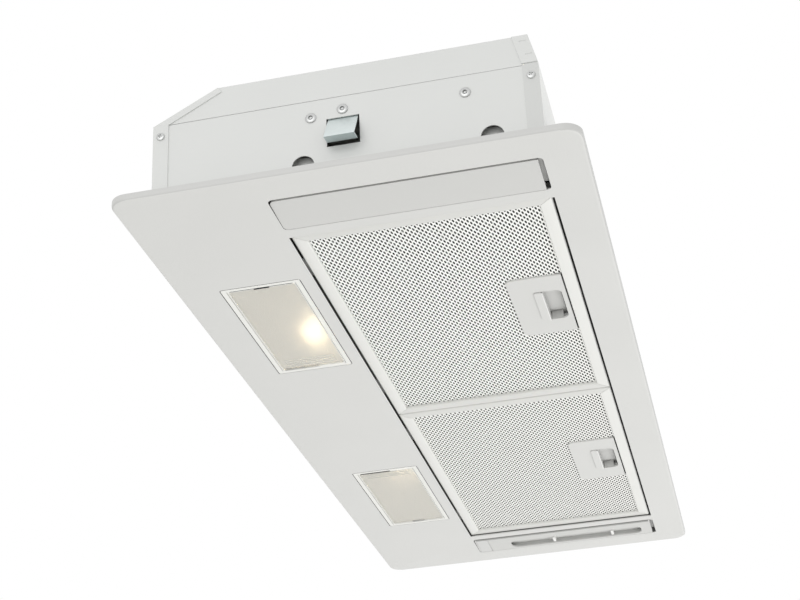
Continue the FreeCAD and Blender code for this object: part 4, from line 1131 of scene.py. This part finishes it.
@dataclass
class Latch:
    """A filter's latch: plate with a finger pocket, and a slider with its lip and a bolt painted
    dark as painted shade.
    """

    end: End
    plate_edge_mm: float = 0.35
    slider_edge_mm: float = 0.3
    bolt_level_mm: float = 1.5
    lip_half_mm: float = 22.0
    lip_depth_mm: float = 6.2
    lip_round_mm: float = 5.0
    lip_corner_mm: float = 1.6
    skirt_proud_mm: float = 0.02
    skirt_edge_mm: float = 0.25
    bead_mm: float = 1.0
    bead_short_mm: float = 0.4
    bead_proud_mm: float = 0.3
    bead_root_mm: float = 0.4
    bead_lap_mm: float = 0.05
    bead_round_mm: float = 0.32
    bead_steps: int = 4
    pocket_margin_mm: float = 3.0
    pocket_height_mm: float = 6.5
    slot_mm: float = 1.6
    slot_short_mm: float = 0.3
    slot_below_mm: float = 0.15
    slot_above_mm: float = 0.2
    slot_edge_mm: float = 0.05

    def build(self) -> None:
        """Make and dress the latch."""
        soften(self.end.node("latch_plate"), LATCH_AND_HIGHLIGHT_ABS, self.plate_edge_mm)
        self.build_slider()
        self.build_lip()
        self.build_slot()

    def pocket_rear(self) -> float:
        """Y of the finger pocket's rear wall."""
        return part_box(self.end.node("latch_plate"))[1][1] - self.pocket_margin_mm * MM

    def lip_sides(self) -> Point:
        """Measure the lip.

        Returns:
            X of its two ends.
        """
        low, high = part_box(self.end.node("latch_slider"))
        middle, half = (low[0] + high[0]) / 2, self.lip_half_mm * MM
        return middle - half, middle + half

    def build_slider(self) -> None:
        """Slider whose bolt, beyond and above the pocket, is painted dark as painted shade."""
        node = self.end.node("latch_slider")
        slider = soften(node, LATCH_AND_HIGHLIGHT_ABS, self.slider_edge_mm)
        rear, level = self.pocket_rear(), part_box(node)[0][2] + self.bolt_level_mm * MM
        # Painted shade on the bolt and the faces above the pocket.
        second_finish(slider, BLACK_NYLON_AND_SHADE, lambda face: (
            face.center.y > rear or (face.normal.z < -LEANING and face.center.z > level)
        ))

    def build_lip(self) -> None:
        """Skirt over the slider's lip, with one round and one squarer corner, and a white bead that
        is a painted highlight.
        """
        node = self.end.node("latch_slider")
        low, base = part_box(node)[0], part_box(self.end.node("latch_plate"))[0]
        left, right = self.lip_sides()
        front, rear = low[1], low[1] + self.lip_depth_mm * MM
        wide, small = self.lip_round_mm * MM, self.lip_corner_mm * MM
        outline = arc((left + wide, front + wide), wide, 180, 270, CORNER_STEPS)
        outline += arc((right - small, front + small), small, 270, 360, CORNER_STEPS)
        outline += [(right, rear), (left, rear)]
        proud = self.skirt_proud_mm * MM
        skirt = prism(self.end.node("lip_skirt"), outline, low[2] - proud, base[2] - proud)
        add_trim(bevel(skirt, self.skirt_edge_mm), LATCH_AND_HIGHLIGHT_ABS, BODY_OF[node])
        short = self.bead_short_mm * MM
        foot = (left + short, rear - self.bead_mm * MM, low[2] - self.bead_proud_mm * MM)
        top = (right - short, rear + self.bead_lap_mm * MM, low[2] + self.bead_root_mm * MM)
        bead = block(self.end.node("lip_bead"), foot, top)
        bevel(bead, self.bead_round_mm, self.bead_steps)
        # Painted highlight: the bead in polished white along the lip's rear edge.
        add_trim(bead, KNOB_AND_HIGHLIGHT_ABS, BODY_OF[node])

    def build_slot(self) -> None:
        """Black block in the pocket's roof, painted shade where the bolt's arms run through a slot.
        """
        node = self.end.node("latch_plate")
        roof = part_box(node)[0][2] + self.pocket_height_mm * MM
        left, right = self.lip_sides()
        rear, short = self.pocket_rear(), self.slot_short_mm * MM
        low = (left + short, rear - self.slot_mm * MM, roof - self.slot_below_mm * MM)
        high = (right - short, rear, roof + self.slot_above_mm * MM)
        slot = bevel(block(self.end.node("pocket_slot"), low, high), self.slot_edge_mm)
        add_trim(slot, BLACK_NYLON_AND_SHADE, BODY_OF[node])


@dataclass
class GreaseFilter:
    """One filter: mitred frame, punched sheets, mesh pack and sprung latch."""

    end: End
    face_mm: float = 9.0
    strip_mm: float = 0.7
    height_mm: float = 11.0
    recess_mm: float = 2.5
    outer_round_mm: float = 1.4
    inner_round_mm: float = 0.8
    lip_clear_mm: float = 0.1
    fold_mm: float = 0.5
    mitre_gap_mm: float = 0.2
    side_mm: float = 0.2
    slot_half_mm: float = 15.4
    slot_deep_mm: float = 2.0
    slot_clear_mm: float = 0.4
    tongue_reach_mm: float = 3.5
    tongue_rise_mm: float = 4.0
    tongue_half_mm: float = 12.0
    tongue_place_mm: float = 100.0
    tongue_lap_mm: float = 0.3
    tongue_foot_mm: float = 0.1
    window_half_mm: float = 27.7
    window_depth_mm: float = 25.1
    window_margin_mm: float = 1.0
    sheet_mm: float = 0.2
    face_holes: PunchedSheet = PunchedSheet(pitch_mm=3.5, long_mm=3.75, wide_mm=1.3, lean_deg=-6.0)
    back_holes: PunchedSheet = PunchedSheet(pitch_mm=6.0, long_mm=4.0, wide_mm=4.0)
    strand_slope: float = 0.2

    def build(self) -> None:
        """Make and dress the whole filter."""
        self.build_frame()
        self.build_sheets()
        Latch(self.end).build()

    def profile(self) -> list[Point]:
        """Section the rolled frame strip.

        Returns:
            Points in millimetres, inward from the outer edge and up from the face.
        """
        outer, inner = self.outer_round_mm, self.inner_round_mm
        strip, fold = self.strip_mm, self.fold_mm
        face, top, lip = self.face_mm, self.height_mm, self.recess_mm - self.lip_clear_mm
        outside = arc((outer, outer), outer, 180, 270) + arc((face - inner, inner), inner, 270, 360)
        edge = [(face, lip), (face - strip, lip), (face - strip, strip + fold)]
        bend = arc((outer, outer), outer - strip, 180, 270)
        inside = [(face - strip - fold, strip)] + list(reversed(bend))
        upper = [(strip, top - strip), (face, top - strip), (face, top), (outer / 2, top),
                 (0, top - outer / 2)]
        return outside + edge + inside + upper

    def frame_box(self) -> tuple[Vector, Vector]:
        """Measure the frame without its tongues.

        Returns:
            Its lowest and highest corner.
        """
        low, high = corners_of(self.end.node("filter_frame"))
        low.y += self.tongue_reach_mm * MM
        low.z = high.z - self.height_mm * MM
        return low, high

    def build_sheets(self) -> None:
        """Punched face with a window for the latch, punched back and the mesh pack between, with
        painted shade on the walls of the holes and on all but the upward faces of the back and the
        pack.
        """
        low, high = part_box(self.end.node("latch_plate"))
        face_low, face_high = corners_of(self.end.node("filter_face"))
        middle, length = (low[0] + high[0]) / 2, (high[0] - low[0]) / 2
        half, margin = self.window_half_mm * MM, self.window_margin_mm * MM
        window = ((middle - half, high[1] - self.window_depth_mm * MM),
                  (middle + half, face_high.y + margin))
        strip = ((middle - length + margin, high[1] - margin),
                 (middle + length - margin, high[1] + 2 * margin))
        face_high.z = face_low.z + self.sheet_mm * MM
        name = self.end.node("punched_face")
        face = self.face_holes.build(name, face_low, face_high, (window, strip))
        show(face, PUNCHED_ALUMINIUM, self.end.node("filter_face"))
        # Painted shade on the walls of the holes.
        second_finish(face, MESH_SHADE_ALUMINIUM, lambda cut: abs(cut.normal.z) < LEANING)
        corners = corners_of(self.end.node("filter_back"))
        back = self.back_holes.build(self.end.node("punched_back"), *corners)
        # Painted shade: the back sheet dark but for its upward faces.
        show(back, BACK_SHADE_ALUMINIUM, self.end.node("filter_back"))
        second_finish(back, CROSS_GRAIN_SHADE_ALUMINIUM, lambda side: side.normal.z > LEANING)
        corners = corners_of(self.end.node("filter_pack"))
        pack = ExpandedMesh().build(self.end.node("mesh_pack"), *corners, window)
        # Painted shade: the pack brown-black but for the faces that look up.
        show(pack, MESH_SHADE_ALUMINIUM, self.end.node("filter_pack"))
        second_finish(pack, CROSS_GRAIN_SHADE_ALUMINIUM, lambda side: side.normal.z > self.strand_slope)

    def build_frame(self) -> None:
        """Four bars of rolled strip, mitred, with the bolt's slot and two tongues."""
        low, high = self.frame_box()
        shape = bmesh.new()
        for start_x, start_y, length, angle in (
            (low.x, low.y, high.x - low.x, 0), (high.x, low.y, high.y - low.y, 90),
            (high.x, high.y, high.x - low.x, 180), (low.x, high.y, high.y - low.y, 270),
        ):
            turn = Matrix.Rotation(math.radians(angle), 4, "Z")
            self.add_bar(shape, Matrix.Translation((start_x, start_y, low.z)) @ turn, length)
        bmesh.ops.recalc_face_normals(shape, faces=shape.faces)
        bars = from_shape(self.end.node("mitred_frame"), shape)
        slider_low, slider_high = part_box(self.end.node("latch_slider"))
        middle, half = (slider_low[0] + slider_high[0]) / 2, self.slot_half_mm * MM
        slot_low = (middle - half, high.y - self.slot_deep_mm * MM, low.z + self.recess_mm * MM)
        slot_high = (middle + half, high.y + PAST, slider_high[2] + self.slot_clear_mm * MM)
        carve(bars, block("bolt_slot", slot_low, slot_high))
        self.add_tongues(bars, low, middle)
        show(smooth(bars), FRAME_ALUMINIUM, self.end.node("filter_frame"))

        def short(face: Face) -> bool:
            """Whether a face is on one of the short bars."""
            return inset(face, low, high, (0,)) < inset(face, low, high, (1,))

        # Painted shade: the short bars a shade darker.
        second_finish(bars, CROSS_GRAIN_SHADE_ALUMINIUM, short)
        # Painted shade on the outer sides of the long bars, down in the gap.
        second_finish(bars, GAP_SHADE_ALUMINIUM, lambda face: (
            not short(face) and abs(face.normal.y) > SQUARE
            and inset(face, low, high, (1,)) < self.side_mm * MM
        ))

    def add_bar(self, shape: Shape, place: Matrix, length: float) -> None:
        """Add one bar of the frame.

        Args:
            shape: the frame, under construction.
            place: where the bar starts and which way it runs.
            length: length along its outer edge, in metres.
        """
        section = self.profile()
        ends = []
        for far in (False, True):
            ring = []
            for inward, up in section:
                mitre = (inward + self.mitre_gap_mm) * MM
                along = length - mitre if far else mitre
                ring.append(shape.verts.new(place @ Vector((along, inward * MM, up * MM))))
            ends.append(ring)
        for first in range(len(section)):
            after = (first + 1) % len(section)
            shape.faces.new((ends[0][first], ends[0][after], ends[1][after], ends[1][first]))
        shape.faces.new(ends[0])
        shape.faces.new(reversed(ends[1]))

    def add_tongues(self, bars: Piece, low: Vector, middle: float) -> None:
        """Join the two hooked tongues that hold the filter's front edge to the frame.

        Args:
            bars: the frame.
            low: its lowest corner, in metres.
            middle: X of its middle.
        """
        shape = bmesh.new()
        shape.from_mesh(bars.data)
        sheet, tip = self.strip_mm * MM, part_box(self.end.node("filter_frame"))[0][1]
        root, foot = low.y + self.tongue_lap_mm * MM, low.z + self.tongue_foot_mm * MM
        under = low.z + self.tongue_rise_mm * MM
        hook = [(root, under), (tip + sheet, under), (tip + sheet, foot), (tip, foot),
                (tip, under + sheet), (root, under + sheet)]
        for side in (-1, 1):
            x = middle + side * self.tongue_place_mm * MM
            ends = [
                [shape.verts.new((x + reach * MM, *point)) for point in hook]
                for reach in (-self.tongue_half_mm, self.tongue_half_mm)
            ]
            sides = [shape.faces.new(ends[0]), shape.faces.new(reversed(ends[1]))]
            for first in range(len(hook)):
                after = (first + 1) % len(hook)
                corners = (ends[0][first], ends[1][first], ends[1][after], ends[0][after])
                sides.append(shape.faces.new(corners))
            bmesh.ops.recalc_face_normals(shape, faces=sides)
        shape.to_mesh(bars.data)
        shape.free()


@dataclass
class LampUnit:
    """One lamp: reflector box, holder, lit lamp and its stippled cover."""

    end: End
    box_edge_mm: float = 0.2
    holder_edge_mm: float = 0.6
    cover_edge_mm: float = 0.15
    border_mm: float = 4.3
    sheet_mm: float = 2.2
    stipple_low_mm: float = 0.5
    stipple_high_mm: float = 2.5
    side_mm: float = 0.3
    groove_mm: float = 3.3
    groove_wide_mm: float = 0.7
    groove_deep_mm: float = 1.2
    slit_mm: float = 3.0
    slit_end_mm: float = 5.6
    slit_wide_mm: float = 1.0
    notch_wide_mm: float = 2.4
    notch_half_mm: float = 5.4
    catch_wide_mm: float = 2.2
    catch_long_mm: float = 26.0
    dark_strip_mm: float = 0.4
    pale_strip_mm: float = 0.5
    strip_lap_mm: float = 0.05
    strip_foot_mm: float = 0.15
    strip_rise_mm: float = 0.6
    strip_edge_mm: float = 0.1

    def build(self) -> None:
        """Dress the lamp and its cover."""
        soften(self.end.node("lamp_box"), REFLECTOR_SHEET, self.box_edge_mm)
        soften(self.end.node("lamp_holder"), WHITE_BAKELITE, self.holder_edge_mm)
        keep(self.end.node("lamp_bulb"), LIT_GLASS[self.end])
        self.build_cover()
        self.line_slits()

    def across(self, edge: float, near_mm: float, far_mm: float, inward: int) -> Point:
        """Interval between two distances inward from an edge of the cover."""
        first, last = (edge + inward * reach * MM for reach in (near_mm, far_mm))
        return min(first, last), max(first, last)

    def cover_ends(self) -> tuple[tuple[float, int], tuple[float, int]]:
        """Find the cover's two ends.

        Returns:
            X of the outer end and the direction inward from it, then the same of the inner end.
        """
        low, high = corners_of(self.end.node("lamp_lens"))
        sides = (high.x, -1), (low.x, 1)
        return sides if self.end is End.BLANK else sides[::-1]

    def slit_y(self) -> Point:
        """Interval of Y along the outer slit."""
        low, high = corners_of(self.end.node("lamp_lens"))
        return low.y + self.slit_end_mm * MM, high.y - self.slit_end_mm * MM

    def catch_y(self) -> Point:
        """Interval of Y along the inner catch."""
        front = self.slit_y()[0]
        return front, front + self.catch_long_mm * MM

    def build_cover(self) -> None:
        """Clear cover with a stippled middle, grooved long sides and a catch slit at each end."""
        node = self.end.node("lamp_lens")
        low, high = corners_of(node)
        cover = copy_of(node)
        foot, roof = low.z - PAST, low.z + self.groove_deep_mm * MM
        left, right = low.x + self.groove_mm * MM, high.x - self.groove_mm * MM
        for edge, side in ((low.y, 1), (high.y, -1)):
            wide_mm = self.groove_wide_mm
            near, far = self.across(edge, self.groove_mm, self.groove_mm + wide_mm, side)
            carve(cover, block("groove", (left, near, foot), (right, far, roof)))
        top = low.z + self.sheet_mm * MM + PAST
        outer, inner = self.cover_ends()
        for (edge, inward), wide_mm, (front, rear) in (
            (outer, self.slit_wide_mm, self.slit_y()), (inner, self.catch_wide_mm, self.catch_y()),
        ):
            near, far = self.across(edge, self.slit_mm, self.slit_mm + wide_mm, inward)
            carve(cover, block("slit", (near, front, foot), (far, rear, top)))
        show(bevel(cover, self.cover_edge_mm), CLEAR_ACRYLIC, node)
        second_finish(cover, STIPPLED_ACRYLIC, lambda face: (
            inset(face, low, high) > self.border_mm * MM and abs(face.normal.z) > LEANING
            and self.stipple_low_mm * MM < face.center.z - low.z < self.stipple_high_mm * MM
        ))
        # Painted shade on the cover's sides.
        second_finish(cover, EDGE_SHADE_ACRYLIC, lambda face: (
            inset(face, low, high) < self.side_mm * MM and abs(face.normal.z) < LEANING
        ))

    def line_slits(self) -> None:
        """Black strips as painted shade where the slits show dark, and pale ones as painted
        highlights along the cover's border.
        """
        low, high = corners_of(self.end.node("lamp_lens"))
        middle, half = (low.y + high.y) / 2, self.notch_half_mm * MM
        outer, inner = self.cover_ends()
        if self.end is End.BLANK:
            dark = ((*outer, self.slit_mm + self.slit_wide_mm, self.slit_y()),
                    (*outer, self.slit_mm + self.notch_wide_mm, (middle - half, middle + half)))
        else:
            dark = ((*inner, self.slit_mm + self.catch_wide_mm, self.catch_y()),)
        reach = (-self.dark_strip_mm, self.strip_lap_mm)
        # Painted shade: black strips in the slits.
        self.build_strips("catch_strips", dark, reach, BLACK_NYLON_AND_SHADE)
        pale = ((*outer, self.slit_mm, self.slit_y()), (*inner, self.slit_mm, self.catch_y()))
        reach = (-self.strip_lap_mm, self.pale_strip_mm)
        # Painted highlights: pale strips along the cover's border.
        self.build_strips("rim_strips", pale, reach, LATCH_AND_HIGHLIGHT_ABS)

    def build_strips(
        self, stem: str, seats: Sequence[tuple[float, int, float, Point]], reach_mm: Point,
        finish: Finish,
    ) -> None:
        """Make the strips that line one side of the slits, all in one piece.

        Args:
            stem: start of the piece's name.
            seats: end of the cover, direction inward, distance of the slit's side, interval of Y.
            reach_mm: where a strip starts and ends about that side.
            finish: the strips' finish.
        """
        node = self.end.node("lamp_lens")
        face = corners_of(node)[0].z
        foot, top = face + self.strip_foot_mm * MM, face + (self.sheet_mm + self.strip_rise_mm) * MM
        whole = bmesh.new()
        for edge, inward, wall_mm, (front, rear) in seats:
            near, far = self.across(edge, wall_mm + reach_mm[0], wall_mm + reach_mm[1], inward)
            strip = block("strip", (near, front, foot), (far, rear, top))
            whole.from_mesh(strip.data)
            bpy.data.objects.remove(strip)
        strips = bevel(from_shape(self.end.node(stem), whole), self.strip_edge_mm)
        add_trim(strips, finish, BODY_OF[node])


@dataclass
class ControlEnd:
    """Control panel with its slot, switches, sliders and bare tile, and the blank panel."""

    edge_mm: float = 0.3
    ledge_mm: float = 2.4
    ledge_root_mm: float = 3.0
    ledge_rise_mm: float = 4.2
    ledge_sheet_mm: float = 1.0
    ledge_short_mm: float = 3.0
    ledge_end_mm: float = 1.0
    slot_margin_mm: float = 3.1
    slot_wide_mm: float = 17.0
    slot_deep_mm: float = 3.0
    slot_front_mm: float = 32.2
    slot_rear_mm: float = 9.4
    slot_round_mm: float = 6.0
    seal_mm: float = 0.6
    seal_lap_mm: float = 2.6
    seal_front_mm: float = 2.0
    seal_rear_mm: float = 1.0
    seal_foot_mm: float = 0.1
    seal_top_mm: float = 8.0
    seal_edge_mm: float = 0.2
    tile_groove_mm: float = 0.8
    tile_sheet_mm: float = 0.2
    tile_edge_mm: float = 0.1

    def build(self) -> None:
        """Dress the two end panels and the controls."""
        soften("blank_panel", PANEL_ABS, self.edge_mm, join_flats=False)
        self.build_control_panel()
        for node in ("control_panel", "blank_panel"):
            self.build_ledge(node)
        self.build_tile()
        for name in ("lamp", "fan"):
            soften(f"{name}_switch", SWITCH_ABS, self.edge_mm)
            soften(f"{name}_knob", KNOB_AND_HIGHLIGHT_ABS, self.edge_mm)

    def build_control_panel(self) -> None:
        """Control panel with its long slot, and a grey foam seal along its inner side as painted
        shade in the gap.
        """
        node = "control_panel"
        low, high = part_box(node)
        panel = copy_of(node, join_flats=False)
        near = (low[0] + self.slot_margin_mm * MM, low[1] + self.slot_front_mm * MM)
        far = (near[0] + self.slot_wide_mm * MM, high[1] - self.slot_rear_mm * MM)
        outline = rounded(near, far, self.slot_round_mm * MM)
        carve(panel, prism("slot", outline, low[2] - PAST, low[2] + self.slot_deep_mm * MM))
        show(bevel(panel, self.edge_mm), PANEL_ABS, node)
        seal_low = (high[0] - self.seal_lap_mm * MM, low[1] + self.seal_front_mm * MM,
                    low[2] + self.seal_foot_mm * MM)
        seal_high = (high[0] + self.seal_mm * MM, high[1] - self.seal_rear_mm * MM,
                     low[2] + self.seal_top_mm * MM)
        # Painted shade: a grey seal in the gap along the panel's inner side.
        seal = bevel(block("panel_seal", seal_low, seal_high), self.seal_edge_mm)
        add_trim(seal, SEAL_SHADE_FOAM, BODY_OF[node])

    def build_ledge(self, node: str) -> None:
        """Make the set-back ledge that closes most of the gap at a panel's rear end.

        Args:
            node: the panel's CAD node.
        """
        low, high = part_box(node)
        foot = low[2] + self.ledge_rise_mm * MM
        start = (low[0] + self.ledge_short_mm * MM, high[1] - self.ledge_root_mm * MM, foot)
        stop = (high[0] - self.ledge_end_mm * MM, high[1] + self.ledge_mm * MM,
                foot + self.ledge_sheet_mm * MM)
        ledge = bevel(block(f"{node}_ledge", start, stop), self.edge_mm)
        add_trim(ledge, PANEL_ABS, BODY_OF[node])

    def build_tile(self) -> None:
        """Bare tile with a groove along its inner side."""
        node = "control_tile"
        low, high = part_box(node)
        tile = copy_of(node)
        near = (low[0] - PAST, high[1] - self.tile_groove_mm * MM, low[2] - PAST)
        far = (high[0] + PAST, high[1] + PAST, high[2] - self.tile_sheet_mm * MM)
        carve(tile, block("groove", near, far))
        show(bevel(tile, self.tile_edge_mm), TILE_ABS, node)


@dataclass
class Blower:
    """Blower box, scroll, wheel, motor, duct collar and dampers."""

    sheet_edge_mm: float = 0.2
    collar_edge_mm: float = 0.3
    can_edge_mm: float = 1.0

    def build(self) -> None:
        """Dress the air path."""
        for node in ("blower_box", "scroll_housing", "motor_bracket", "damper_flap_front",
                     "damper_flap_rear"):
            soften(node, SPANGLED_ZINC, self.sheet_edge_mm)
        soften("duct_collar", BLACK_NYLON_AND_SHADE, self.collar_edge_mm)
        keep("impeller", BLACK_NYLON_AND_SHADE)
        soften("motor_body", MOTOR_STEEL, self.can_edge_mm)
        keep("motor_shaft", GROUND_STEEL)
        keep("damper_pin", GROUND_STEEL)
        for node, axis in (("motor_screws", Axis.REAR), ("collar_screws", Axis.UP)):
            Fasteners(node, axis, radius_mm=4.0, height_mm=2.2, cross_mm=4.0).build(BLUE_ZINC)


@dataclass
class TerminalBox:
    """Mains terminal box with its cover, gland and capacitor."""

    sheet_edge_mm: float = 0.2
    gland_edge_mm: float = 0.4
    can_edge_mm: float = 1.0

    def build(self) -> None:
        """Dress the box and what it holds."""
        soften("terminal_box", SPANGLED_ZINC, self.sheet_edge_mm)
        soften("terminal_cover", SPANGLED_ZINC, self.sheet_edge_mm)
        soften("cable_gland", BLACK_NYLON_AND_SHADE, self.gland_edge_mm)
        soften("capacitor", WHITE_BAKELITE, self.can_edge_mm)


@dataclass(frozen=True)
class SoftLight:
    """Square studio light that faces the hood, in metres and watts."""

    name: str
    place: Place
    size: float
    power: float

    def build(self) -> None:
        """Hang the light, out of the camera's sight."""
        lamp = bpy.data.lights.new(self.name, "AREA")
        lamp.size = self.size
        lamp.energy = self.power
        holder = bpy.data.objects.new(self.name, lamp)
        holder.location = self.place
        holder.rotation_euler = (-Vector(self.place)).to_track_quat("-Z", "Y").to_euler()
        holder.visible_camera = False
        bpy.context.scene.collection.objects.link(holder)


@dataclass
class Studio:
    """White room: pale floor, soft lights and the camera below the near end of the hood."""

    camera_place: Place = (1.19508, 0.20678, -0.52865)
    camera_aim: Place = (0.19447, -0.00383, -0.0046)
    camera_roll_deg: float = -2.804
    lens_mm: float = 76.34
    sensor_mm: float = 36.0
    floor_drop: float = 1.75
    floor_half: float = 6.0
    ambient: float = 0.8
    key: SoftLight = SoftLight("key_light", (-0.4, 0.9, -1.5), size=1.8, power=16.0)
    side: SoftLight = SoftLight("side_light", (2.0, -0.3, 0.1), size=1.6, power=9.0)

    def build(self) -> None:
        """Set up floor, world, lights and camera."""
        self.build_floor()
        self.build_world()
        self.key.build()
        self.side.build()
        self.build_camera()
        bpy.context.scene.view_settings.view_transform = "Standard"

    def build_floor(self) -> None:
        """Pale floor far below the hood."""
        corners = [
            (x * self.floor_half, y * self.floor_half, -self.floor_drop)
            for x, y in ((-1, -1), (1, -1), (1, 1), (-1, 1))
        ]
        floor = new_piece("floor", corners, [(0, 1, 2, 3)])
        paint = Finish("pale_floor", "#F4F4F2", 0.8, grain_mm=3.0, cloud_mm=400.0, cloud_share=0.01)
        paint.dress(floor)

    def build_world(self) -> None:
        """White to the camera and in reflections, softer as light on the object."""
        world = bpy.data.worlds.new("white_room")
        bpy.context.scene.world = world
        world.use_nodes = True
        tree = world.node_tree
        tree.nodes.clear()
        path = add_node(tree, "ShaderNodeLightPath").outputs
        seen = path["Is Camera Ray"]
        for other in ("Is Glossy Ray", "Is Transmission Ray"):
            either = {0: seen, 1: path[other]}
            seen = add_node(tree, "ShaderNodeMath", {"operation": "MAXIMUM"}, either).outputs[0]
        white = (1.0, 1.0, 1.0, 1.0)
        soft, plain = (
            add_node(tree, "ShaderNodeBackground", {"Color": white, "Strength": level}).outputs[0]
            for level in (self.ambient, 1.0)
        )
        mixed = add_node(tree, "ShaderNodeMixShader", {}, {0: seen, 1: soft, 2: plain})
        add_node(tree, "ShaderNodeOutputWorld", {}, {"Surface": mixed.outputs["Shader"]})

    def build_camera(self) -> None:
        """Set the camera where the photograph was taken from."""
        lens = bpy.data.cameras.new("camera")
        lens.lens = self.lens_mm
        lens.sensor_width = self.sensor_mm
        lens.sensor_fit = "HORIZONTAL"
        camera = bpy.data.objects.new("camera", lens)
        place = Vector(self.camera_place)
        forward = (Vector(self.camera_aim) - place).normalized()
        level = forward.cross(Vector((0, 0, 1))).normalized()
        upright = level.cross(forward)
        roll = math.radians(self.camera_roll_deg)
        right = level * math.cos(roll) + upright * math.sin(roll)
        turn = Matrix((right, right.cross(forward), -forward)).transposed()
        camera.matrix_world = Matrix.Translation(place) @ turn.to_4x4()
        bpy.context.scene.collection.objects.link(camera)
        bpy.context.scene.camera = camera


def main() -> None:
    """Build every sub-assembly and the studio."""
    logging.basicConfig(level=logging.INFO, format="%(message)s")
    Casing().build()
    for end in End:
        GreaseFilter(end).build()
        LampUnit(end).build()
    ControlEnd().build()
    Blower().build()
    TerminalBox().build()
    Studio().build()
    bpy.context.view_layer.update()


if __name__ == "__main__":
    main()
